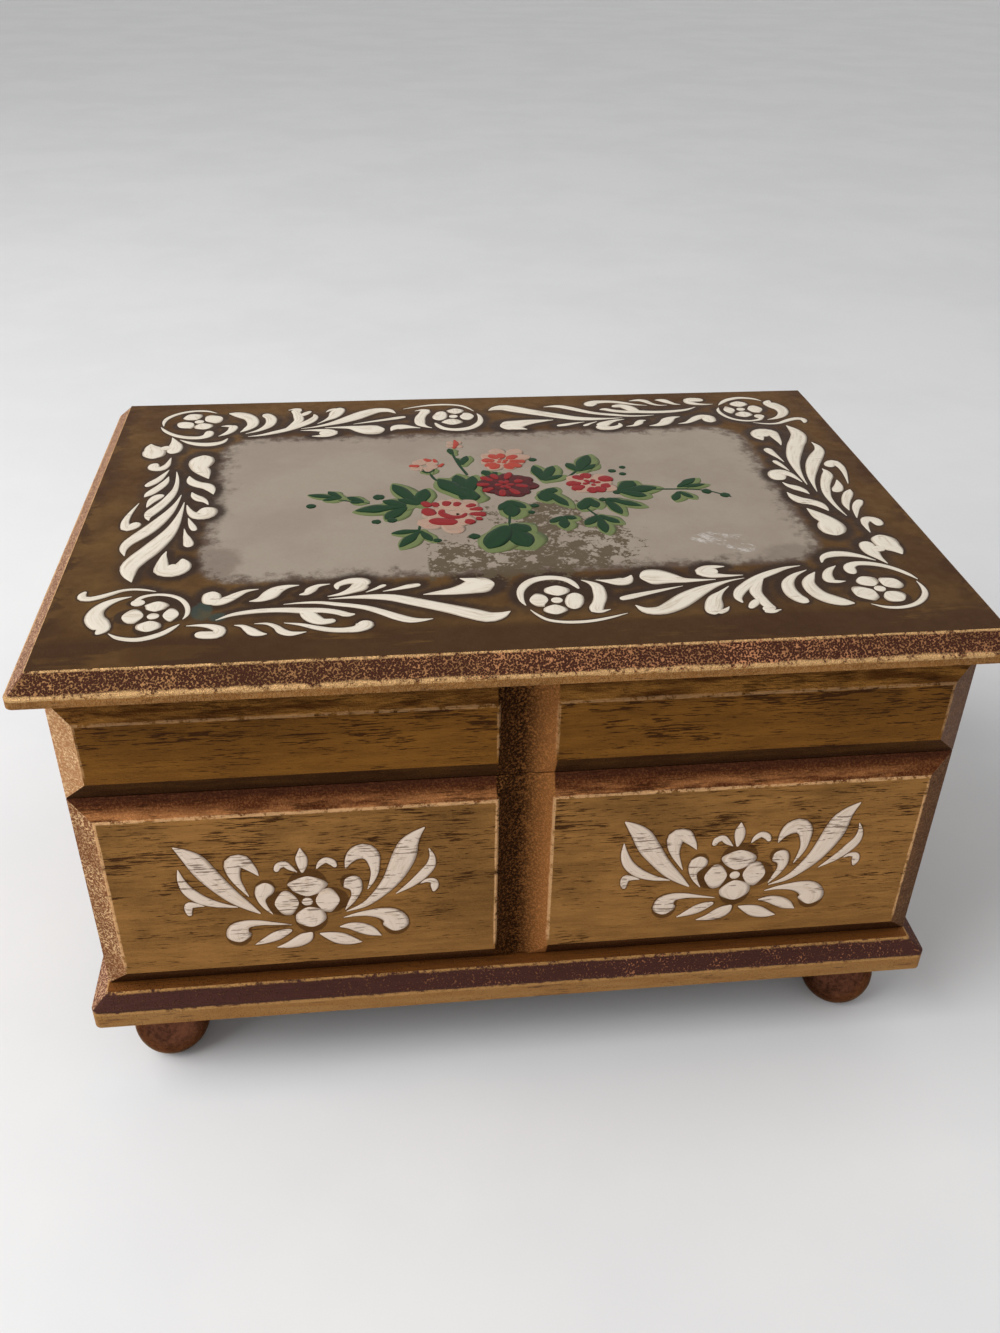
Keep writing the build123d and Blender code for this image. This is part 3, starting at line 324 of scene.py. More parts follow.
class Effects:
    """The shader node groups that several finishes share, each built once when first asked for."""

    @staticmethod
    def _start(name: str, inputs: dict[str, Optional[float]], outputs: Sequence[str]) -> tuple[Graph, dict, dict]:
        """Opens a new group.

        Args:
            name: the group's name.
            inputs: input names with their defaults, None for a vector.
            outputs: names of the masks that it puts out.

        Returns:
            Its graph, its input sockets and its output sockets, by name.
        """
        tree = bpy.data.node_groups.new(name, "ShaderNodeTree")
        for label, default in inputs.items():
            kind = "NodeSocketVector" if default is None else "NodeSocketFloat"
            socket = tree.interface.new_socket(label, in_out="INPUT", socket_type=kind)
            if default is not None:
                socket.default_value = default
        for label in outputs:
            tree.interface.new_socket(label, in_out="OUTPUT", socket_type="NodeSocketFloat")
        graph = Graph(tree)
        given, put = graph.node("NodeGroupInput"), graph.node("NodeGroupOutput")
        return graph, dict(given.outputs.items()), dict(put.inputs.items())

    @cached_property
    def clouds(self) -> Tree:
        """Soft clouds, a mottle a ninth of their Size, and specks a fortieth of it, each from one noise."""
        g, given, put = self._start("soft clouds", {"Position": None, "Size": 20.0}, ("Cloud", "Mottle", "Speck"))
        place, scale = given["Position"], g.maths("DIVIDE", 1.0, given["Size"])
        g.feed(put["Cloud"], g.ease(g.noise(place, scale, 4, 0.6), 0.36, 0.64))
        g.feed(put["Mottle"], g.ease(g.noise(place, g.times(scale, 9.0), 3, 0.65), 0.34, 0.66))
        g.feed(put["Speck"], g.ease(g.noise(place, g.times(scale, 40.0), 2, 0.5), 0.35, 0.65))
        return g.tree

    @cached_property
    def grain(self) -> Tree:
        """Grain along X: Dashes are short dark pores, thick where a cloud allows them; Fibre is fine lines.

        The place is squeezed by Length along X and by Pitch across, then read by noise.
        """
        inputs = {"Position": None, "Length": 9.0, "Pitch": 0.6, "Cover": 0.5}
        g, given, put = self._start("brushed grain", inputs, ("Dashes", "Fibre", "Waves"))
        along, across = (g.maths("DIVIDE", 1.0, given[key]) for key in ("Length", "Pitch"))
        squeezed = g.vector("MULTIPLY", given["Position"], g.join(along, across, across))
        dashes = g.noise(squeezed, 1.0, 3, 0.6, 0.25)
        cloud = g.stretched(given["Position"], (0.06, 0.15, 0.15), 4, 0.65)
        lift = g.scaled(given["Cover"], 0.34, g.scaled(cloud, 0.62, dashes))
        g.feed(put["Dashes"], g.ease(lift, 1.06, 1.1))
        g.feed(put["Fibre"], g.ease(g.stretched(squeezed, (0.6, 3, 3)), 0.3, 0.7))
        g.feed(put["Waves"], g.ease(g.stretched(squeezed, (0.3, 0.16, 0.16)), 0.35, 0.65))
        return g.tree

    @cached_property
    def crackle(self) -> Tree:
        """Gold left in a net round small dark cells of about Size: cell distance with a wavering limit."""
        g, given, put = self._start("crackled gold", {"Position": None, "Size": 1.2, "Gold": 0.5}, ("Net", "Sparkle"))
        place, scale = given["Position"], g.maths("DIVIDE", 1.0, given["Size"])
        cells = g.cells(g.turned(place, (1.0, 0.7, 0.7), (35, 35, 50)), scale)
        wander = g.noise(place, g.times(scale, 0.11), 3, 0.6)
        crumbs = g.noise(place, g.times(scale, 2.2), 2, 0.6)
        lift = g.scaled(g.plus(wander, given["Gold"]), 0.36, g.scaled(crumbs, 0.35, cells))
        g.feed(put["Net"], g.ease(lift, 1.0, 1.26))
        g.feed(put["Sparkle"], g.ease(g.noise(place, g.times(scale, 1.15), 3, 0.7), 0.44, 0.64))
        return g.tree

    @cached_property
    def arris(self) -> Tree:
        """A rubbed line within Width of where Distance is 0, its width and strength wandering with noise."""
        g, given, put = self._start("rubbed arris", {"Position": None, "Distance": 0.0, "Width": 0.6}, ("Line",))
        place = given["Position"]
        rough, slow = g.noise(place, 1.1, 3, 0.7), g.noise(place, 0.09, 2, 0.5)
        width = g.times(given["Width"], g.plus(rough, g.times(slow, 1.2)))
        off = g.maths("DIVIDE", g.absolute(given["Distance"]), width)
        broken = g.ease(g.noise(place, 0.42, 4, 0.8), 0.38, 0.52)
        g.feed(put["Line"], g.times(g.minus(1.0, g.ease(off, 0.45, 1.0)), broken))
        return g.tree

    @cached_property
    def raised_panel(self) -> Tree:
        """How far outside the rim of the two raised panels a point lies, along the front, negative on them."""
        inputs = {"Position": None, "Centre X": 0.0, "Centre Z": 0.0, "Half X": 1.0, "Half Z": 1.0}
        g, given, put = self._start("raised panel", inputs, ("Distance",))
        x, _, z = g.split(given["Position"])
        aside = g.absolute(g.minus(g.absolute(x), given["Centre X"]))
        above = g.absolute(g.minus(z, given["Centre Z"]))
        g.feed(put["Distance"], g.most(g.minus(aside, given["Half X"]), g.minus(above, given["Half Z"])))
        return g.tree

    @cached_property
    def box_edges(self) -> Tree:
        """Wear on the edges of a box: 1 where the second nearest of its three pairs of faces is near."""
        inputs = {"Position": None, "Centre": None, "Half": None, "Width": 0.6}
        g, given, put = self._start("box edges", inputs, ("Wear",))
        offset = g.vector("ABSOLUTE", g.vector("SUBTRACT", given["Position"], given["Centre"]))
        x, y, z = g.split(g.vector("SUBTRACT", offset, given["Half"]))
        outer = g.plus(g.most(g.most(x, y), z), g.least(g.least(x, y), z))
        middle = g.absolute(g.minus(g.plus(g.plus(x, y), z), outer))
        ragged = g.times(given["Width"], g.noise(given["Position"], 0.6, 4, 0.7))
        g.feed(put["Wear"], g.minus(1.0, g.ease(g.maths("DIVIDE", middle, ragged), 0.5, 1.6)))
        return g.tree


EFFECTS = Effects()


@dataclass(frozen=True)
class Finish:
    """A finish that can be put on pieces; each kind fills the material's nodes in its own way."""

    name: str

    def fill(self, graph: Graph, shader: Node) -> None:
        """Wires the finish's nodes into the material's shader.

        Args:
            graph: the material's graph.
            shader: its Principled node.
        """
        raise NotImplementedError

    def material(self) -> bpy.types.Material:
        """The finished material, made once for each finish.

        Returns:
            The material, under the finish's name.
        """
        made = bpy.data.materials.get(self.name)
        if made is None:
            made = bpy.data.materials.new(self.name)
            made.use_nodes = True
            self.fill(Graph(made.node_tree), made.node_tree.nodes["Principled BSDF"])
        return made

    def dress(self, *nodes: bpy.types.Object) -> None:
        """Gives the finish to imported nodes."""
        for node in nodes:
            node.data.materials.clear()
            node.data.materials.append(self.material())


def settle(shader: Node, **values: object) -> None:
    """Sets plain numbers on the shader's own sockets, with _ for a space in their names."""
    for name, value in values.items():
        shader.inputs[name.replace("_", " ")].default_value = value


def settle_gold(shader: Node, level: float = 0.12) -> None:
    """Keeps the shine of gold paint low and warm."""
    settle(shader, Specular_IOR_Level=level, Specular_Tint=(0.62, 0.44, 0.24, 1.0))


def finish_surface(graph: Graph, shader: Node, colour: Source, roughness: Source,
                   normal: Source, metallic: Source = None) -> None:
    """Feeds the shader's colour, roughness, normal and, where given, metallic."""
    given = {"Base Color": colour, "Roughness": roughness, "Normal": normal, "Metallic": metallic}
    for name, value in given.items():
        graph.feed(shader.inputs[name], value)


@dataclass(frozen=True)
class BoardFinish(Finish):
    """A finish for a plain board, which knows its box in millimetres and the axis that its grain runs along."""

    low: Corner = (0, 0, 0)
    high: Corner = (1, 1, 1)
    lengthways: int = 0

    def along(self, g: Graph, place: Source) -> Socket:
        """The place with the grain's axis put first."""
        parts = list(g.split(place))
        parts[0], parts[self.lengthways] = parts[self.lengthways], parts[0]
        return g.join(*parts)

    def edges(self, g: Graph, place: Source, width: float) -> Socket:
        """The wear within about that width of the board's edges."""
        ends = np.array([self.low, self.high])
        return g.use(EFFECTS.box_edges, Position=place, Centre=ends.mean(0).tolist(),
                     Half=((ends[1] - ends[0]) / 2).tolist(), Width=width)["Wear"]


@dataclass(frozen=True)
class GildedPanels(Finish):
    """The two fixed and sliding front boards: gold paint dragged over dark wood, with rubbed bevels that carry painted
    light.

    Fields are the raised panel's centre and half size along x and z in millimetres, the colours of the face,
    of its dark drag marks, of each bevel, and whether a halo of old glaze lies round painted ornament. A pair
    of places, in millimetres, says where a soft step starts and ends.
    """

    centre: Pair = (58.45, 68.9)
    half: Pair = (50.95, 27.0)
    face: Colour = tint(154, 110, 60)
    drag: Colour = tint(52, 26, 10)
    cover: Pair = (0.24, 0.52)
    top_bevel: ColourPair = (tint(84, 42, 22), tint(196, 132, 80))
    painted_shade_low_bevel: ColourPair = (tint(48, 27, 14), tint(84, 54, 27))
    painted_lit_left_bevel: ColourPair = (tint(128, 80, 50), tint(244, 204, 154))
    painted_shade_right_bevel: ColourPair = (tint(88, 60, 42), tint(146, 112, 84))
    groove: ColourPair = (tint(35, 15, 4), tint(184, 122, 68))
    streaky: bool = False
    line: float = 0.9
    halo: bool = False
    groove_rim: Pair = (7.9, 7.4)
    groove_painted_sheen: Pair = (-3.0, 8.5)
    behind: Pair = (-66.5, -65.5)
    lower_rim_painted_light: float = 18.0

    @property
    def bottom(self) -> float:
        """The height of the panels' lower rim."""
        return self.centre[1] - self.half[1]

    def _face(self, g: Graph, place: Source, z: Source) -> tuple[Source, Source]:
        """The panel's colour and relief: dragged gold paint with dark pores, thicker towards the top.

        Args:
            g: the material's graph.
            place: the point's place.
            z: its height.

        Returns:
            The colour and the relief.
        """
        low, (least, most) = self.bottom, self.cover
        cover = g.scaled(g.ease(z, low, low + 1.7 * self.half[1]), most - least, least)
        grain = g.use(EFFECTS.grain, Position=place, Length=5.5, Pitch=0.34, Cover=cover)
        clouds = g.use(EFFECTS.clouds, Position=place, Size=30.0)
        dull, bright = shade(self.face, 0.72), shade(self.face, 1.2)
        # Painted light: the paint is brightened towards the panel's lower rim.
        paint = g.coated(
            g.mix(clouds["Cloud"], dull, bright), (g.ease(z, low + self.lower_rim_painted_light, low), 0.8, bright),
            (grain["Waves"], 0.3, self.drag), (grain["Fibre"], 0.25, dull), (clouds["Speck"], 0.14, bright),
            (grain["Dashes"], 0.9, self.drag))
        return paint, g.scaled(grain["Dashes"], -0.8, grain["Fibre"])

    def fill(self, graph: Graph, shader: Node) -> None:
        """Face, four bevels, hollow groove and rubbed arrises, told apart by place and by which way they face."""
        g, place = graph, graph.place()
        x, y, z = g.split(place)
        across, _, upward = g.split(g.facing())
        rim = g.use(EFFECTS.raised_panel, Position=place, Centre_X=self.centre[0], Centre_Z=self.centre[1],
                    Half_X=self.half[0], Half_Z=self.half[1])["Distance"]
        paint, relief = self._face(g, place, z)
        crackle = g.use(EFFECTS.crackle, Position=place, Size=0.7, Gold=0.5)
        clouds = g.use(EFFECTS.clouds, Position=place, Size=11.0)
        streaks = g.use(EFFECTS.grain, Position=place, Length=5.0, Pitch=0.45, Cover=0.5)
        rubbed = g.times(streaks["Waves"], g.ease(rim, 4.5, 0.3))
        grainy = g.scaled(crackle["Sparkle"], 0.22, g.times(rubbed, 0.8))
        worn = g.coated(
            g.mix(streaks["Waves"] if self.streaky else grainy, *self.top_bevel),
            (streaks["Dashes"], 0.6, self.drag), (g.ease(rim, 2.8, 5.6), 0.6, tint(58, 30, 22)))
        # Painted light by facing: painted shade on the downward bevel, a painted highlight on the left-facing one,
        # painted shade on the right-facing one.
        sides = (
            (g.ease(upward, -0.3, -0.5), self.painted_shade_low_bevel, 0.45),
            (g.ease(across, -0.3, -0.5), self.painted_lit_left_bevel, g.scaled(clouds["Cloud"], -0.6, 1.0)),
            (g.ease(across, 0.3, 0.5), self.painted_shade_right_bevel, 0.6),
        )
        for share, (dark, light), strength in sides:
            fleck = g.times(crackle["Sparkle"], strength)
            worn = g.mix(share, worn, g.mix(fleck, dark, light))
        in_groove = g.ease(g.absolute(x), *self.groove_rim)
        # Painted sheen: the hollow groove is painted lighter from its left wall to its right.
        painted_sheen_share = g.scaled(g.ease(x, *self.groove_painted_sheen), 0.75, -0.06)
        hollow = g.mix(g.scaled(crackle["Sparkle"], 0.42, painted_sheen_share), *self.groove)
        worn = g.mix(in_groove, worn, hollow)
        colour = g.mix(g.ease(rim, -0.05, 0.2), paint, worn)
        line = g.use(EFFECTS.arris, Position=place, Distance=rim, Width=0.55)["Line"]
        line = g.times(g.times(line, g.ease(z, self.bottom + 1, self.bottom + 4)), self.line)
        colour = g.mix(line, colour, tint(220, 172, 122))
        wood = g.mix(g.ease(y, *self.behind), colour, tint(86, 58, 36))
        if self.halo:
            near, _, _ = g.fact("paint")
            ragged = g.plus(near, g.times(g.noise(place, 1.4, 3, 0.6), 0.5))
            wood = g.over(wood, g.ease(ragged, 0.7, 0.3), 0.7, tint(70, 42, 22))
        rough = g.scaled(crackle["Sparkle"], -0.14, g.scaled(relief, 0.08, 0.46))
        height = g.plus(relief, g.times(crackle["Net"], g.ease(rim, 0.0, 0.4)))
        metal = g.scaled(crackle["Sparkle"], 0.2, 0.42)
        finish_surface(g, shader, wood, rough, g.bump(height, 0.08), metal)
        settle_gold(shader)


@dataclass(frozen=True)
class MouldedEdge(Finish):
    """A board moulded all round: crackled bevel, gold arrises above and below, plain edge and underside.

    The bevel lies between the heights ridge and shoulder, and its paint runs down over the edge by the spill, in
    millimetres. It gets redder from left to right.
    """

    ridge: float = 141.5
    shoulder: float = 146.0
    bevel: Colour = tint(66, 36, 28)
    net: Colour = tint(152, 110, 72)
    painted_lit_left_bevel: ColourPair = (tint(112, 70, 54), tint(222, 176, 138))
    edge: Colour = tint(152, 104, 56)
    top: Colour = tint(92, 60, 32)
    gold: float = 0.5
    arris: Colour = tint(216, 172, 118)
    spill: float = 0.0
    reddening: Pair = (-70.0, 40.0)

    def fill(self, graph: Graph, shader: Node) -> None:
        """Bevel where the surface slopes, with the left one paler as a painted highlight; edge, top and underside by
        height and facing.
        """
        g, place = graph, graph.place()
        x, y, z = g.split(place)
        across, _, upward = g.split(g.facing())
        sideways = g.ease(g.absolute(across), 0.3, 0.4)
        along = g.mix(sideways, place, g.join(y, x, z))
        middle = (self.ridge + self.shoulder) / 2
        verge = g.ease(g.absolute(g.minus(z, middle)), 0.5, self.shoulder - middle)
        gold = g.scaled(verge, 0.06, self.gold)
        crackle = g.use(EFFECTS.crackle, Position=place, Size=0.62, Gold=gold)
        clouds = g.use(EFFECTS.clouds, Position=place, Size=26.0)
        grain = g.use(EFFECTS.grain, Position=along, Length=7.0, Pitch=0.4, Cover=0.35)
        red = g.mix(0.6, self.net, tint(222, 148, 108))
        light = g.over(self.net, g.ease(x, *self.reddening), 0.8, red)
        slope = g.mix(crackle["Net"], self.bevel, g.over(light, clouds["Cloud"], 0.8, shade(self.net, 0.5)))
        # Painted highlight: the left-facing bevel is painted paler.
        slope = g.mix(g.ease(across, -0.3, -0.45), slope, g.mix(crackle["Sparkle"], *self.painted_lit_left_bevel))
        plain = g.coated(
            self.edge, (grain["Waves"], 0.4, self.top), (grain["Dashes"], 0.7, self.bevel),
            (clouds["Speck"], 0.18, self.arris))
        flat_top = g.over(self.top, grain["Fibre"], 0.5, self.bevel)
        lower = self.ridge - self.spill
        colour = g.mix(g.most(g.ease(upward, 0.2, 0.35), g.ease(z, lower, lower + 0.3)), plain, slope)
        colour = g.mix(g.ease(upward, 0.93, 0.97), colour, flat_top)
        colour = g.mix(g.ease(upward, -0.3, -0.6), colour, g.mix(grain["Fibre"], tint(70, 46, 28), tint(52, 33, 20)))
        for level, width in ((lower, 0.7), (self.shoulder, 0.5)):
            line = g.use(EFFECTS.arris, Position=place, Distance=g.minus(z, level), Width=width)["Line"]
            colour = g.over(colour, g.times(line, g.ease(upward, 0.99, 0.95)), 0.9, self.arris)
        height = g.plus(crackle["Net"], g.times(grain["Fibre"], 0.3))
        rough = g.scaled(crackle["Net"], -0.12, 0.5)
        metal = g.scaled(crackle["Net"], 0.25, 0.3)
        finish_surface(g, shader, colour, rough, g.bump(height, 0.22), metal)
        settle_gold(shader)


@dataclass(frozen=True)
class PlainGilding(BoardFinish):
    """A plain board in dragged gold paint, with rubbed edges."""

    face: Colour = tint(124, 88, 50)
    drag: Colour = tint(62, 34, 18)
    worn: Colour = tint(204, 158, 102)

    def fill(self, graph: Graph, shader: Node) -> None:
        """Dragged paint as on the front, darker towards the board's ends, with rubbed edges."""
        g, place = graph, graph.place()
        grain = g.use(EFFECTS.grain, Position=self.along(g, place), Length=4.5, Pitch=0.36, Cover=0.5)
        clouds = g.use(EFFECTS.clouds, Position=place, Size=36.0)
        wear, smoke = (self.edges(g, place, width) for width in (1.1, 14.0))
        colour = g.coated(
            g.mix(clouds["Cloud"], shade(self.face, 0.72), self.face), (grain["Waves"], 0.45, self.drag),
            (smoke, 0.55, self.drag), (grain["Dashes"], 0.85, self.drag), (clouds["Speck"], 0.15, self.worn),
            (wear, 0.85, self.worn))
        height = g.scaled(grain["Dashes"], -0.8, grain["Fibre"])
        rough = g.scaled(clouds["Mottle"], 0.12, 0.4)
        finish_surface(g, shader, colour, rough, g.bump(height, 0.06), g.scaled(wear, 0.2, 0.42))
        settle_gold(shader)


@dataclass(frozen=True)
class BronzedTurning(Finish):
    """Turned feet in glossy copper bronze: brighter where rubbed, with painted shade towards the floor and the neck."""

    deep: Colour = tint(60, 34, 24)
    copper: Colour = tint(130, 82, 60)
    sole: Pair = (5.0, 0.5)
    neck: Pair = (21.0, 25.0)

    def fill(self, graph: Graph, shader: Node) -> None:
        """Mottled metal flake in lacquer, in faint turning rings, with painted shade at the sole and the neck."""
        g, place = graph, graph.place()
        _, _, z = g.split(place)
        clouds = g.use(EFFECTS.clouds, Position=place, Size=11.0)
        rings = g.stretched(place, (0.06, 0.06, 2.2))
        tone = g.scaled(clouds["Mottle"], 0.3, g.times(clouds["Cloud"], 0.4))
        # Painted shade: darker towards the floor at the sole and at the neck under the base.
        colour = g.coated(
            g.mix(tone, self.deep, self.copper), (g.ease(z, *self.sole), 0.75, tint(46, 26, 18)),
            (g.ease(z, *self.neck), 0.6, tint(60, 34, 22)))
        height = g.scaled(clouds["Speck"], 0.4, rings)
        rough = g.scaled(clouds["Mottle"], 0.16, 0.22)
        finish_surface(g, shader, colour, rough, g.bump(height, 0.05), g.scaled(clouds["Speck"], 0.1, 0.78))
        settle_gold(shader, 0.2)


@dataclass(frozen=True)
class BareWood(BoardFinish):
    """Plain waxed wood: growth bands and pores along the grain, and slightly soiled edges."""

    pale: Colour = tint(196, 156, 110)
    late: Colour = tint(150, 106, 66)
    layered: bool = False

    def fill(self, graph: Graph, shader: Node) -> None:
        """Bands from noise stretched along the grain; plywood shows its layers on the edges."""
        g, place = graph, graph.place()
        along = self.along(g, place)
        grain = g.use(EFFECTS.grain, Position=along, Length=14.0, Pitch=0.6, Cover=0.2)
        bands = g.stretched(along, (0.012, 0.22, 0.22), 4, 0.6, 0.6)
        wear = self.edges(g, place, 0.8)
        clouds = g.use(EFFECTS.clouds, Position=place, Size=30.0)
        colour = g.coated(
            g.mix(g.ease(bands, 0.4, 0.62), self.pale, self.late), (grain["Fibre"], 0.3, self.late),
            (grain["Dashes"], 0.55, tint(104, 68, 40)), (clouds["Cloud"], 0.2, self.late))
        if self.layered:
            _, _, z = g.split(place)
            _, _, upward = g.split(g.facing())
            layer = g.ease(g.maths("PINGPONG", g.minus(z, self.low[2]), 1.0), 0.35, 0.65)
            on_edge = g.ease(g.absolute(upward), 0.6, 0.3)
            colour = g.over(colour, on_edge, g.times(layer, 0.8), tint(112, 74, 46))
        colour = g.over(colour, wear, 0.5, tint(120, 82, 52))
        height = g.scaled(grain["Dashes"], -1.0, grain["Fibre"])
        rough = g.scaled(grain["Fibre"], 0.15, 0.42)
        finish_surface(g, shader, colour, rough, g.bump(height, 0.05))


@dataclass(frozen=True)
class Velvet(Finish):
    """Short-pile velvet: dark and light patches where the pile lies differently, a bright sheen on top."""

    dark: Colour = tint(74, 10, 22)
    light: Colour = tint(140, 26, 44)

    def fill(self, graph: Graph, shader: Node) -> None:
        """Brushed patches from clouds, tufts from a fine noise and a finer one."""
        g, place = graph, graph.place()
        clouds = g.use(EFFECTS.clouds, Position=place, Size=16.0)
        tufts = g.noise(place, 5.5, 2, 0.7)
        rows = g.stretched(place, (0.35, 3.4, 3.4), 2, 0.5)
        tone = g.scaled(clouds["Cloud"], 0.5, g.times(clouds["Mottle"], 0.25))
        colour = g.mix(g.scaled(tufts, 0.25, tone), self.dark, self.light)
        height = g.scaled(rows, 0.35, tufts)
        rough = g.scaled(tufts, 0.12, 0.84)
        finish_surface(g, shader, colour, rough, g.bump(height, 0.35))
        settle(shader, Sheen_Weight=0.75, Sheen_Roughness=0.35, Sheen_Tint=tint(226, 120, 140), Specular_IOR_Level=0.15)


@dataclass(frozen=True)
class OldMirror(BoardFinish):
    """Silvered glass with faint smears and a few dark specks that thicken towards its rim."""

    def fill(self, graph: Graph, shader: Node) -> None:
        """Smears change the roughness, specks the colour, and both the metal."""
        g, place = graph, graph.place()
        rim = self.edges(g, place, 9.0)
        clouds = g.use(EFFECTS.clouds, Position=place, Size=40.0)
        specks = g.times(g.ease(g.noise(place, 0.55, 4, 0.75), 0.6, 0.72), g.plus(rim, 0.12))
        colour = g.mix(specks, g.mix(clouds["Cloud"], tint(232, 236, 236), tint(222, 228, 230)), tint(92, 84, 76))
        rough = g.scaled(clouds["Cloud"], 0.02, g.scaled(specks, 0.3, 0.015))
        metal = g.scaled(specks, -0.5, 1.0)
        finish_surface(g, shader, colour, rough, g.bump(clouds["Mottle"], 0.0008), metal)


@dataclass(frozen=True)
class WorkedMetal(Finish):
    """Brass or steel: brushed one way, tarnished in clouds and duller in its tarnish."""

    clean: Colour = tint(206, 168, 92)
    tarnish: Colour = tint(132, 96, 46)
    share: float = 0.55
    rough: float = 0.26
    brushed: Corner = (0.25, 6.0, 6.0)

    def fill(self, graph: Graph, shader: Node) -> None:
        """Tarnish from clouds, scratches from noise stretched along one axis."""
        g, place = graph, graph.place()
        clouds = g.use(EFFECTS.clouds, Position=place, Size=8.0)
        scratches = g.stretched(place, self.brushed, 3, 0.65)
        tone = g.times(g.scaled(clouds["Mottle"], 0.5, clouds["Cloud"]), self.share)
        colour = g.mix(g.scaled(scratches, 0.2, tone), self.clean, self.tarnish)
        rough = g.scaled(tone, 0.22, g.scaled(scratches, 0.12, self.rough))
        metal = g.scaled(clouds["Speck"], -0.06, 1.0)
        finish_surface(g, shader, colour, rough, g.bump(scratches, 0.01), metal)


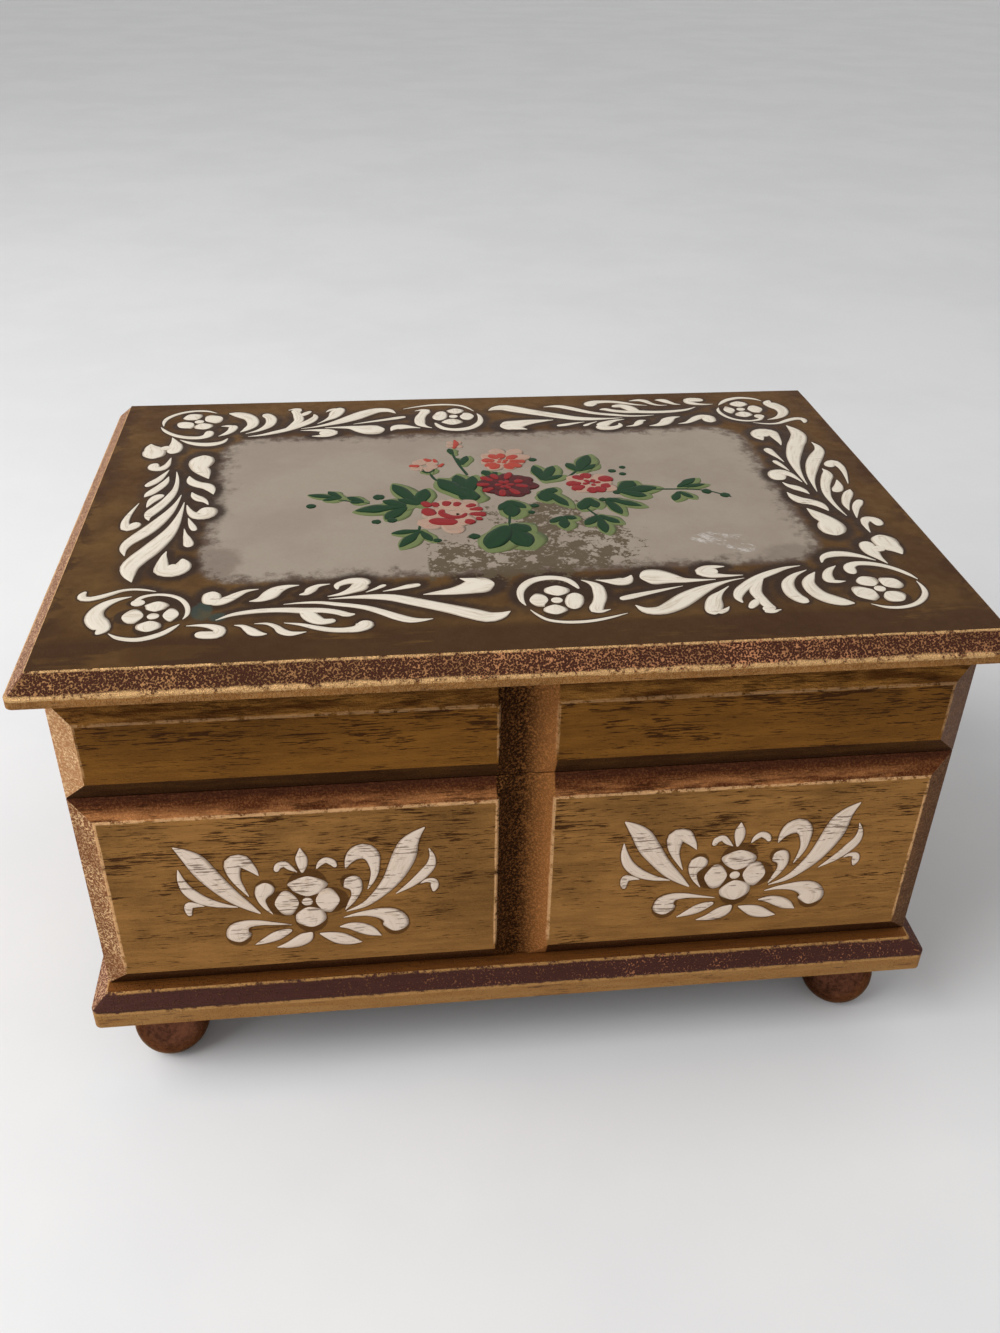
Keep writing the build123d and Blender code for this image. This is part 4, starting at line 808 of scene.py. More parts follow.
@dataclass(frozen=True)
class LidPainting(Finish):
    """The lid's top under its ornament: olive gold border, smoky glaze round the scrolls, grey-mauve field.

    The mesh gives it two vectors. paint holds the distance to the nearest scroll, the distance outside the
    field's outline, and how smudged the place is; marks holds the flaked, scuffed and smeared places. A pair of
    places, in millimetres, says where a soft step starts and ends.
    """

    olive: Colour = tint(98, 72, 41)
    brown: Colour = tint(68, 46, 26)
    purple: Colour = tint(50, 31, 22)
    smoke: Colour = tint(40, 26, 18)
    mauve: Colour = tint(153, 141, 127)
    greyer: Colour = tint(146, 133, 120)
    rightward_painted_shade: Pair = (-60.0, 100.0)
    dark_from: Pair = (-82.0, -68.0)
    front_verge: Pair = (-66.0, -71.0)
    side_verge: Pair = (108.0, 115.0)
    glaze_reach: Pair = (25.0, 13.0)
    flaked_from: Pair = (-22.8, -22.0)

    def _border(self, g: Graph, place: Source, clouds: dict, small: dict) -> Source:
        """The border: olive gold, browner to the right as painted shade, purple along its front and side verges.

        Args:
            g: the material's graph.
            place: the point's place.
            clouds, small: the wide and the small clouds there.

        Returns:
            The border's colour.
        """
        x, y, _ = g.split(place)
        rubbed = g.stretched(place, (0.03, 0.16, 0.16), 4, 0.65)
        rightward = g.scaled(g.ease(x, *self.dark_from), 0.12, rubbed)
        front = g.times(g.ease(y, *self.front_verge), g.ease(rightward, 0.46, 0.54))
        sides = g.times(g.ease(g.absolute(x), *self.side_verge), g.ease(small["Cloud"], 0.3, 0.7))
        # Painted shade: the border is browner towards the right.
        return g.coated(
            g.mix(clouds["Cloud"], self.olive, self.brown), (g.ease(x, *self.rightward_painted_shade), 0.4, self.brown),
            (clouds["Mottle"], 0.2, self.purple), (g.most(front, sides), 0.8, self.purple),
            (small["Speck"], 0.16, tint(128, 98, 62)))

    def _field(self, g: Graph, place: Source, clouds: dict, small: dict) -> Source:
        """The field: grey-mauve with brown pits, smudged in broken clouds along its outline.

        Args:
            g: the material's graph.
            place: the point's place.
            clouds, small: the wide and the small clouds there.

        Returns:
            The field's colour.
        """
        _, outside, smudged = g.fact("paint")
        pits = g.ease(g.noise(place, 1.7, 2, 0.6), 0.72, 0.77)
        broken = g.scaled(g.minus(g.noise(place, 0.22, 5, 0.75), 0.5), 22.0, outside)
        torn = g.ease(g.scaled(g.noise(place, 0.16, 5, 0.75), 1.5, smudged), 1.15, 1.75)
        smudge = g.most(g.times(g.ease(broken, -6.0, 1.0), 0.85), g.times(torn, 0.35))
        tone = g.coated(
            g.mix(clouds["Cloud"], self.mauve, self.greyer), (small["Mottle"], 0.08, tint(120, 106, 94)),
            (pits, 0.5, self.brown))
        return g.mix(smudge, tone, tint(70, 50, 40))

    def _marks(self, g: Graph, place: Source, fuzz: Source, colour: Source) -> tuple[Source, Source]:
        """The flaked patch, the chalky scuffs and the wet green smears.

        Args:
            g: the material's graph.
            place: the point's place.
            fuzz: a fine noise there.
            colour: the painting without its marks.

        Returns:
            The colour with them, and where the paint is lost.
        """
        x, _, _ = g.split(place)
        flaked, scuffed, smeared = g.fact("marks")
        crumbs = g.cells(g.turned(place, (1.0, 1.0, 1.0), (0, 0, 20)), 0.95)
        patchy = g.times(g.noise(place, 0.16, 3, 0.6), 1.1)
        thinned = g.scaled(g.minus(flaked, 1.0), 0.26, g.scaled(crumbs, 0.2, patchy))
        lost = g.ease(g.scaled(g.noise(place, 0.42, 6, 0.8), 1.2, thinned), 1.2, 1.24)
        lost = g.times(lost, g.times(g.ease(flaked, 0.0, 0.1), g.ease(x, *self.flaked_from)))
        streaked = g.noise(g.turned(place, (2.2, 0.9, 1), (0, 0, -34)), 0.34, 6, 0.9)
        chalk = g.ease(g.times(streaked, g.ease(scuffed, 0.0, 0.7)), 0.5, 0.66)
        wet = g.ease(g.scaled(fuzz, 0.9, smeared), 0.8, 1.3)
        coats = ((lost, 0.92, tint(84, 72, 54)), (chalk, 0.65, tint(222, 216, 212)), (wet, 0.5, tint(52, 76, 72)))
        return g.coated(colour, *coats), lost

    def fill(self, graph: Graph, shader: Node) -> None:
        """Border, field, glaze and marks laid over each other as the painter laid them."""
        g, place = graph, graph.place()
        near, outside, _ = g.fact("paint")
        clouds, small = (g.use(EFFECTS.clouds, Position=place, Size=size) for size in (30.0, 9.0))
        fuzz = g.noise(place, 0.9, 4, 0.7)
        inside = g.ease(g.scaled(g.minus(fuzz, 0.5), 5.0, outside), 1.6, -1.4)
        ragged = g.ease(g.scaled(g.minus(fuzz, 0.5), 2.4, near), 3.6, 0.9)
        smoky = g.times(ragged, g.times(g.ease(outside, *self.glaze_reach), 0.9))
        outline = g.times(g.ease(g.scaled(fuzz, 0.7, near), 1.15, 0.5), 0.8)
        glaze = g.most(smoky, outline)
        flat = g.mix(inside, self._border(g, place, clouds, small), self._field(g, place, clouds, small))
        colour, lost = self._marks(g, place, fuzz, g.mix(glaze, flat, self.smoke))
        height = g.scaled(lost, -0.8, g.plus(g.times(fuzz, 0.5), g.times(small["Speck"], 0.3)))
        rough = g.scaled(clouds["Mottle"], 0.1, g.scaled(inside, 0.1, 0.42))
        golden = g.times(g.minus(1.0, inside), g.scaled(glaze, -0.4, 0.45))
        finish_surface(g, shader, colour, rough, g.bump(height, 0.03), golden)
        settle_gold(shader, 0.08)


@dataclass(frozen=True)
class BrushPaint(Finish):
    """Thick paint laid in strokes: bristle streaks along each stroke, thin edges, and wear along the grain.

    The mesh's vector brush holds the place across the stroke, the length along it and the stroke's own number.
    """

    body: Colour = tint(224, 214, 198)
    thin: Colour = tint(184, 168, 146)
    under: Colour = tint(110, 82, 56)
    wear: float = 0.2
    edge: float = 0.5

    def fill(self, graph: Graph, shader: Node) -> None:
        """Streaks from noise that runs with the stroke, worn specks from the board's grain below."""
        g, place = graph, graph.place()
        across, along, number = g.fact("brush")
        bristles = g.stretched(g.join(across, along, number), (3.2, 0.14, 37.0), 3, 0.65)
        grain = g.use(EFFECTS.grain, Position=place, Length=6.0, Pitch=0.5, Cover=self.wear)
        colour = g.coated(
            self.body, (g.ease(bristles, 0.46, 0.72), 0.7, self.thin), (grain["Fibre"], 0.18, self.thin),
            (g.ease(g.absolute(across), 0.72, 1.0), self.edge, self.under), (grain["Dashes"], 0.75, self.under))
        height = g.scaled(grain["Dashes"], -0.6, bristles)
        rough = g.scaled(bristles, 0.16, 0.42)
        finish_surface(g, shader, colour, rough, g.bump(height, 0.05))
        settle(shader, Specular_IOR_Level=0.08)


@dataclass(frozen=True)
class PaleFloor(Finish):
    """A plain pale floor with a faint plastered unevenness."""

    colour: Colour = tint(232, 232, 232)
    cooler: Colour = tint(228, 228, 229)

    def fill(self, graph: Graph, shader: Node) -> None:
        """Slow clouds of a slightly cooler grey."""
        g, place = graph, graph.place()
        clouds = g.use(EFFECTS.clouds, Position=place, Size=160.0)
        colour = g.mix(clouds["Cloud"], self.colour, self.cooler)
        rough = g.scaled(clouds["Mottle"], 0.1, 0.6)
        finish_surface(g, shader, colour, rough, g.bump(clouds["Mottle"], 0.03))
        settle(shader, Specular_IOR_Level=0.2)


def placed(name: str, data: bpy.types.ID) -> bpy.types.Object:
    """A new object with that data, linked into the scene."""
    made = bpy.data.objects.new(name, data)
    bpy.context.scene.collection.objects.link(made)
    return made


def spaced(low: float, high: float, pitch: float) -> np.ndarray:
    """Even steps of about the pitch from low to high."""
    return np.linspace(low, high, round((high - low) / pitch) + 1)


def signed_power(value: np.ndarray, power: float) -> np.ndarray:
    """The value's size to a power, with the value's sign."""
    return np.sign(value) * np.abs(value) ** power


def grid_cells(index: np.ndarray) -> np.ndarray:
    """The four corners of each cell of a grid whose crossings have those numbers."""
    return np.stack([index[:-1, :-1], index[1:, :-1], index[1:, 1:], index[:-1, 1:]], -1)


def tube_faces(rings: int, around: int) -> tuple[np.ndarray, np.ndarray]:
    """The faces of a closed tube whose points come ring by ring, and then the two single points that close it.

    Args:
        rings: how many rings.
        around: how many points each ring has.

    Returns:
        The quads between the rings, and the triangles of the two ends.
    """
    turn = np.arange(around)
    after = (turn + 1) % around
    first = np.arange(rings - 1)[:, None] * around
    second = first + around
    quads = np.stack([first + turn, first + after, second + after, second + turn], -1).reshape(-1, 4)
    last, end = (rings - 1) * around, np.full(around, rings * around)
    caps = np.concatenate([np.stack([after, turn, end], 1), np.stack([last + turn, last + after, end + 1], 1)])
    return quads, caps


@dataclass
class Surface:
    """One mesh worked out as whole arrays: points in metres, faces, and vectors that its material reads."""

    points: np.ndarray
    faces: list[list[int]]
    facts: dict[str, np.ndarray] = field(default_factory=dict)

    def piece(self, name: str, finish: Finish, body: str, slot: Slot, smooth: bool = True) -> bpy.types.Object:
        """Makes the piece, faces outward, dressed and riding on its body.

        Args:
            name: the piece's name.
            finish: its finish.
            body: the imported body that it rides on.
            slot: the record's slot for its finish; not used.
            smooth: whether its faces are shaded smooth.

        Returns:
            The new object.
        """
        mesh = bpy.data.meshes.new(name)
        mesh.from_pydata(self.points.tolist(), [], self.faces)
        shell = bmesh.new()
        shell.from_mesh(mesh)
        bmesh.ops.recalc_face_normals(shell, faces=shell.faces)
        shell.to_mesh(mesh)
        shell.free()
        for label, values in self.facts.items():
            made = mesh.attributes.new(label, "FLOAT_VECTOR", "POINT")
            made.data.foreach_set("vector", np.ascontiguousarray(values, np.float32).ravel())
        mesh.polygons.foreach_set("use_smooth", [smooth] * len(mesh.polygons))
        mesh.update()
        made = placed(name, mesh)
        mesh.materials.append(finish.material())
        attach(made, body)
        log.info("%s: %d faces", name, len(mesh.polygons))
        return made


@dataclass(frozen=True)
class Ground:
    """The flat face that a painter works on: lying with its top at level, or upright with its front there."""

    level: float
    upright: bool = False

    def place(self, across: np.ndarray, along: np.ndarray, height: np.ndarray) -> np.ndarray:
        """Places on the face as points in space.

        Args:
            across, along: the places on the face in millimetres.
            height: how far each stands above it.

        Returns:
            The points in metres.
        """
        parts = (across, self.level - height, along) if self.upright else (across, along, self.level + height)
        return np.stack(np.broadcast_arrays(*parts), -1) * MM


@dataclass(frozen=True)
class Stroke:
    """One stroke of the brush: the points it passes and its full width at each, in millimetres.

    Between its rounded ends it is nowhere thinner than LEAST.
    """

    path: np.ndarray
    widths: np.ndarray

    LEAST: ClassVar[float] = 0.1

    @classmethod
    def read(cls, row: Row) -> "Stroke":
        """A stroke from a table; a row of one point is a round dot.

        Args:
            row: x, y and width of each point.

        Returns:
            The stroke.
        """
        table = np.reshape(np.array(row, float), (-1, 3))
        if len(table) == 1:
            table = table + table[0, 2] / 2 * np.array([[-1, 0, 0], [1, 0, 0]])
        return cls(table[:, :2], table[:, 2])

    def turned(self, centre: Pair) -> "Stroke":
        """The same stroke after half a turn about centre."""
        return Stroke(2 * np.array(centre) - self.path, self.widths)

    def moved(self, by: Pair) -> "Stroke":
        """The same stroke moved."""
        return Stroke(self.path + np.array(by), self.widths)

    def grown(self, wider: float, longer: float) -> "Stroke":
        """The stroke made wider, and longer about its middle."""
        middle = self.path.mean(0)
        return Stroke(middle + (self.path - middle) * longer, self.widths * wider)

    def run(self, share: np.ndarray) -> tuple[np.ndarray, np.ndarray, np.ndarray]:
        """Follows the stroke.

        Place and width are a cubic through the table whose slopes are the chord-weighted mean of the runs
        that meet at each point. Each end is rounded off as a half circle of its own width.

        Args:
            share: places along the stroke, 0 to 1.

        Returns:
            The centre line's points, the half widths there, and the length along it.
        """
        table = np.column_stack([self.path, self.widths])
        chord = np.linalg.norm(np.diff(self.path, axis=0), axis=1)
        knots = np.concatenate([[0], np.cumsum(chord)])
        slope = np.gradient(table, knots, axis=0)
        at = share * knots[-1]
        i = np.clip(np.searchsorted(knots, at, side="right") - 1, 0, len(chord) - 1)
        step = chord[i][:, None]
        t = (at - knots[i])[:, None] / step
        way = (table[i] * (2 * t**3 - 3 * t**2 + 1) + table[i + 1] * (3 * t**2 - 2 * t**3)
               + slope[i] * step * (t**3 - 2 * t**2 + t) + slope[i + 1] * step * (t**3 - t**2))
        half = np.maximum(way[:, 2], self.LEAST) / 2
        for room, width in ((at, self.widths[0]), (knots[-1] - at, self.widths[-1])):
            reach = np.clip(room / max(width / 2, self.LEAST), 0, 1)
            half = half * np.sqrt(1 - (1 - reach) ** 2)
        return way[:, :2], half, at


@dataclass
class Brushwork:
    """Strokes painted on one ground, each a low crowned body of paint, with lengths in millimetres.

    The rim of a stroke lies at the lift above the ground and its crown by the rise above that, or by less where
    the stroke is thinner than two millimetres. Its width wavers by about the wobble's share, and stations is how
    many sections it has, with its two end points. ACROSS and CROWN are the section's places across the stroke,
    in half widths, and their heights, in rises; a height below zero is a sunk point. LAYER is the step between
    the LAYERS that neighbours take in turn, SUNK how deep the lowest of them reaches into the ground, and BEND
    the share of a bend's radius that a half width may fill. The distance to a stroke is worked out on DISCS
    discs, for places within NEAR of the box round it, and is FAR for all others.
    """

    ground: Ground
    strokes: list[Stroke]
    lift: float = 0.06
    rise: float = 0.10
    wobble: float = 0.03
    stations: int = 34
    seed: int = 3

    ACROSS: ClassVar[np.ndarray] = np.array([-1, -0.66, -0.24, 0.24, 0.66, 1, 1, -1])
    CROWN: ClassVar[np.ndarray] = np.array([0, 0.72, 1, 1, 0.72, 0, -1, -1])
    LAYER: ClassVar[float] = 0.012
    LAYERS: ClassVar[int] = 5
    SUNK: ClassVar[float] = 0.05
    BEND: ClassVar[float] = 0.9
    FAR: ClassVar[float] = 20.0
    NEAR: ClassVar[float] = 9.0
    DISCS: ClassVar[int] = 48

    def surface(self) -> Surface:
        """All strokes as one mesh of closed bodies.

        A section is six points over the crown and two sunk below the ground; it is carried along the stroke's
        centre line, and the first and last stations are single points. On the inner side of a bend the half
        width stays within the bend's radius. Neighbours in the list lie a hair's breadth apart in height, so
        that crossing strokes cover each other cleanly.

        Returns:
            The surface, with the vector brush on its points.
        """
        dice = np.random.default_rng(self.seed)
        share = (1 - np.cos(np.linspace(0, np.pi, self.stations))) / 2
        inner, wide = self.stations - 2, len(self.ACROSS)
        points, facts = [], []
        for count, stroke in enumerate(self.strokes):
            line, half, along = stroke.run(share)
            swell = np.interp(share, np.linspace(0, 1, 6), 1 + self.wobble * dice.standard_normal(6))
            half = half * swell
            tangent = np.gradient(line, axis=0)
            tangent /= np.maximum(np.linalg.norm(tangent, axis=1, keepdims=True), 1e-9)
            heading = np.unwrap(np.arctan2(tangent[:, 1], tangent[:, 0]))
            bend = np.gradient(heading) / np.maximum(np.gradient(along), 1e-6)
            reach = [np.minimum(half, self.BEND / np.maximum(sign * bend, 1e-3))[1:-1, None] for sign in (1, -1)]
            side = np.stack([-tangent[:, 1], tangent[:, 0]], 1)
            offset = np.where(self.ACROSS > 0, *reach) * self.ACROSS
            ring = line[1:-1, None] + side[1:-1, None] * offset[..., None]
            crown = np.where(self.CROWN < 0, -(self.lift + self.SUNK), self.CROWN * self.rise)
            height = crown * np.where(self.CROWN < 0, 1, np.minimum(half[1:-1, None], 1))
            number = dice.random()
            body = np.concatenate([ring.reshape(-1, 2), line[[0, -1]]])
            up = np.concatenate([height.ravel(), [0, 0]]) + self.lift + self.LAYER * (count % self.LAYERS)
            points.append(self.ground.place(body[:, 0], body[:, 1], up))
            sideways = np.concatenate([np.tile(self.ACROSS, inner), [0, 0]])
            onward = np.concatenate([np.repeat(along[1:-1], wide), along[[0, -1]]])
            facts.append(np.stack([sideways, onward, np.full(len(sideways), number)], 1))
        starts = np.arange(len(self.strokes))[:, None, None] * (inner * wide + 2)
        quads, caps = tube_faces(inner, wide)
        faces = (quads + starts).reshape(-1, 4).tolist() + (caps + starts).reshape(-1, 3).tolist()
        return Surface(np.concatenate(points), faces, {"brush": np.concatenate(facts)})

    def nearest(self, across: np.ndarray, along: np.ndarray) -> np.ndarray:
        """The distance from each place to the nearest stroke's edge: the least over discs as wide as the stroke.

        Args:
            across, along: the places on the ground.

        Returns:
            The distances.
        """
        share = np.linspace(0, 1, self.DISCS)
        spots = np.stack([across, along], -1)
        best = np.full(len(spots), self.FAR)
        for stroke in self.strokes:
            line, half, _ = stroke.run(share)
            room = half.max() + self.NEAR
            low, high = line.min(0) - room, line.max(0) + room
            close = np.flatnonzero(((spots >= low) & (spots <= high)).all(1))
            away = np.linalg.norm(spots[close, None] - line[None], axis=2) - half
            best[close] = np.minimum(best[close], away.min(1))
        return best


def slab(xs: np.ndarray, ys: np.ndarray, top: np.ndarray, bottom: float, ground: Ground,
         keep: Optional[np.ndarray] = None) -> Surface:
    """A thin closed sheet on a grid: its top at the given heights, its rim walled down to a flat underside.

    Args:
        xs, ys: the grid's lines in millimetres.
        top: the height above the ground at each crossing, len(xs) by len(ys).
        bottom: the underside's height above the ground.
        ground: the face that the sheet lies on.
        keep: which cells are kept, for a sheet with a piece cut out; else the underside is one plain face.

    Returns:
        The surface.
    """
    grid_x, grid_y = np.meshgrid(xs, ys, indexing="ij")
    count = grid_x.size
    index = np.arange(count).reshape(grid_x.shape)
    cells = grid_cells(index)
    upper = ground.place(grid_x.ravel(), grid_y.ravel(), top.ravel())
    if keep is None:
        rim = np.concatenate([index[:-1, 0], index[-1, :-1], index[:0:-1, -1], index[0, :0:-1]])
        lower = ground.place(grid_x.ravel()[rim], grid_y.ravel()[rim], np.full(len(rim), bottom))
        step = np.arange(len(rim))
        walls = np.stack([rim, count + step, count + (step + 1) % len(rim), np.roll(rim, -1)], 1)
        return Surface(np.concatenate([upper, lower]),
                       cells.reshape(-1, 4).tolist() + walls.tolist() + [(count + step[::-1]).tolist()])
    cells = cells[keep]
    lower = ground.place(grid_x.ravel(), grid_y.ravel(), np.full(count, bottom))
    edges = np.concatenate([cells[:, [i, (i + 1) % 4]] for i in range(4)])
    _, first, uses = np.unique(np.sort(edges, 1), axis=0, return_index=True, return_counts=True)
    rim = edges[first[uses == 1]]
    walls = np.stack([rim[:, 1], rim[:, 0], rim[:, 0] + count, rim[:, 1] + count], 1)
    faces = np.concatenate([cells, cells[:, ::-1] + count, walls])
    used, faces = np.unique(faces, return_inverse=True)
    return Surface(np.concatenate([upper, lower])[used], faces.reshape(-1, 4).tolist())


# Cream scrolls: each row is one stroke, as x, y and its full width at each point that it passes.
SOUTH_WEST_ROSE: tuple[Row, ...] = (
    (-89.8, -58.8, 2.9),
    (-89.6, -56.4, 2.6, -89.6, -54.9, 4.4, -89.5, -53.5, 4.9, -89.5, -52.0, 3.6),
    (-92.3, -58.5, 3.6, -93.5, -58.5, 5.2, -95.2, -58.6, 5.7, -97.0, -58.6, 4.2),
    (-90.2, -61.2, 3.2, -90.2, -62.4, 4.6, -90.3, -63.8, 5.4, -90.3, -65.7, 3.8),
    (-87.4, -58.7, 4.4, -86.3, -58.6, 5.4, -85.1, -58.5, 5.6, -83.9, -58.5, 4.2),
    (-95.1, -51.6, 1.4, -93.8, -49.5, 1.4, -90.9, -48.4, 1.1, -87.5, -48.8, 1.2, -84.6, -50.6, 1.3,
     -82.8, -53.2, 1.4, -81.9, -56.1, 1.3, -81.9, -59.0, 1.0, -82.6, -60.8, 0.2),
    (-94.3, -52.1, 3.4),
    (-99.2, -66.0, 0.2, -97.0, -68.0, 1.2, -94.5, -69.0, 1.5, -92.1, -69.3, 1.7, -89.4, -68.6, 1.9,
     -86.5, -66.9, 1.8, -84.4, -64.6, 1.2, -83.1, -63.0, 0.2),
    (-96.2, -48.9, 0.2, -99.4, -50.1, 1.6, -102.2, -52.5, 3.0, -103.6, -55.6, 3.9, -103.5, -58.8, 4.8,
     -102.0, -61.6, 5.2, -100.8, -64.0, 3.6, -101.9, -66.2, 1.0),
    (-90.6, -46.8, 0.2, -93.8, -45.7, 0.9, -96.5, -45.3, 1.0, -99.0, -45.7, 1.3, -101.4, -47.1, 1.7,
     -104.1, -48.6, 2.0, -106.5, -49.3, 2.2, -108.1, -48.8, 2.3, -108.4, -47.2, 2.0, -107.8, -45.5, 0.7),
)
SOUTH_SPRIG_WEST: tuple[Row, ...] = (
    (-76.6, -48.0, 3.0, -76.7, -49.6, 4.3, -76.6, -51.8, 4.8, -76.0, -54.4, 3.6),
    (-65.4, -47.5, 0.2, -68.5, -48.3, 1.4, -70.7, -50.1, 2.5, -72.7, -52.0, 3.2, -75.0, -53.3, 3.2,
     -77.0, -53.3, 2.4),
    (-67.4, -53.5, 0.2, -65.0, -52.9, 2.0, -62.6, -50.8, 4.2, -61.1, -48.6, 3.9, -58.6, -46.9, 2.0,
     -55.4, -46.3, 0.2),
    (-55.3, -51.2, 0.3, -53.5, -50.6, 2.0, -52.4, -48.9, 2.8, -50.8, -47.1, 1.6, -47.7, -46.3, 0.2),
    (-45.9, -49.2, 0.6, -45.9, -47.3, 1.8, -44.4, -45.9, 2.3, -41.8, -45.2, 3.2, -39.6, -46.3, 4.4,
     -39.2, -48.0, 3.4),
    (-48.3, -52.6, 0.2, -45.0, -51.7, 1.5, -42.2, -50.0, 3.0, -40.2, -48.0, 4.6, -39.6, -46.4, 3.6),
    (-38.8, -51.2, 0.2, -36.0, -49.4, 1.1, -34.4, -48.2, 1.3, -33.7, -47.8, 0.8),
    (-34.6, -51.1, 0.2, -31.0, -50.1, 1.2, -27.4, -48.9, 2.0, -25.0, -48.4, 1.4),
    (-24.6, -53.5, 0.2, -20.9, -53.0, 1.9, -17.0, -52.4, 3.6, -13.7, -51.4, 5.4, -10.8, -50.1, 7.4,
     -8.2, -49.4, 6.8, -6.3, -49.2, 4.6),
    (-14.9, -46.0, 0.2, -13.5, -46.7, 1.6, -11.6, -47.6, 3.4, -9.6, -48.4, 4.4),
    (-48.0, -53.9, 0.2, -42.0, -53.5, 1.3, -37.2, -53.6, 2.3, -32.4, -54.4, 3.2, -27.6, -56.5, 3.8,
     -21.8, -59.3, 4.1, -17.0, -61.7, 4.5, -12.7, -64.0, 5.0, -8.9, -65.7, 4.6, -6.2, -65.0, 3.0, -3.8, -63.3, 0.2),
    (-59.0, -55.6, 0.2, -54.4, -55.2, 0.9, -50.1, -55.4, 1.3, -45.7, -56.6, 1.7, -42.0, -57.6, 1.8,
     -38.4, -59.0, 2.1, -34.8, -61.3, 2.5, -31.0, -64.0, 2.8, -28.1, -65.5, 2.5, -25.7, -65.7, 1.5,
     -22.8, -65.3, 0.2),
    (-74.8, -61.9, 0.2, -71.2, -59.7, 1.4, -66.9, -58.6, 2.0, -62.1, -58.2, 2.1, -57.8, -58.4, 2.3,
     -53.9, -59.0, 2.6, -49.6, -59.2, 2.2, -45.8, -60.4, 2.2, -43.0, -61.8, 1.9, -41.5, -61.6, 0.5),
    (-54.6, -58.9, 1.5, -52.9, -60.9, 3.8, -51.4, -63.0, 4.0, -49.4, -64.5, 3.0, -47.3, -64.4, 2.2,
     -46.2, -64.1, 1.6),
    (-81.5, -64.0, 0.2, -78.4, -64.0, 1.1, -75.3, -64.8, 2.2, -73.4, -66.4, 3.0, -73.8, -68.3, 3.4,
     -76.2, -68.5, 3.5, -79.0, -67.9, 2.6),
    (-70.2, -64.6, 0.2, -68.3, -65.1, 1.2, -66.6, -66.8, 2.4, -65.0, -68.5, 2.8, -63.5, -69.1, 1.8,
     -62.2, -69.2, 0.2),
    (-65.5, -64.2, 0.2, -62.3, -64.5, 1.0, -60.2, -66.1, 1.7, -58.6, -68.4, 2.4, -56.8, -69.4, 2.0,
     -54.9, -69.3, 1.2, -53.0, -68.9, 0.2),
    (-58.5, -64.4, 0.2, -54.4, -65.5, 1.2, -50.6, -67.3, 1.8, -47.2, -68.5, 2.0, -43.4, -68.8, 2.4,
     -40.7, -68.3, 3.4, -39.3, -66.6, 4.8, -39.6, -64.9, 4.0),
)
SOUTH_ROSE: tuple[Row, ...] = (
    (8.3, -58.9, 2.9),
    (9.0, -56.5, 3.4, 9.0, -55.2, 5.0, 9.0, -53.6, 5.8, 9.1, -51.9, 4.4),
    (6.0, -58.6, 3.6, 4.9, -58.5, 5.4, 3.4, -58.7, 5.6, 1.7, -58.8, 4.2),
    (7.5, -61.3, 3.2, 7.4, -62.5, 4.5, 7.3, -63.9, 4.9, 7.3, -65.5, 3.6),
    (13.2, -56.0, 2.4, 13.0, -58.0, 3.8, 12.4, -60.5, 3.9, 11.9, -63.2, 2.2),
    (14.7, -53.6, 0.6, 14.0, -51.6, 1.6, 12.2, -48.8, 2.1, 9.6, -47.6, 2.1, 6.5, -47.5, 2.3, 3.6, -48.5, 2.4,
     1.4, -50.6, 2.4, -0.1, -53.5, 2.1, -0.5, -56.6, 1.7, -0.3, -59.0, 1.1, 0.3, -60.9, 0.2),
    (1.1, -63.0, 0.2, 2.6, -65.6, 0.8, 4.8, -68.1, 1.1, 7.9, -69.3, 1.2, 11.8, -69.7, 1.3, 15.6, -69.4, 1.2,
     19.9, -68.3, 0.9, 24.7, -66.5, 0.2),
    (15.9, -49.3, 0.2, 17.8, -50.6, 1.3, 19.4, -52.8, 3.0, 19.6, -55.6, 3.5, 19.3, -58.5, 3.5, 18.3, -61.4, 3.3,
     17.4, -63.8, 3.6, 17.4, -65.5, 2.6),
    (15.8, -64.6, 1.0, 18.0, -65.2, 1.4, 20.9, -64.4, 0.2),
)
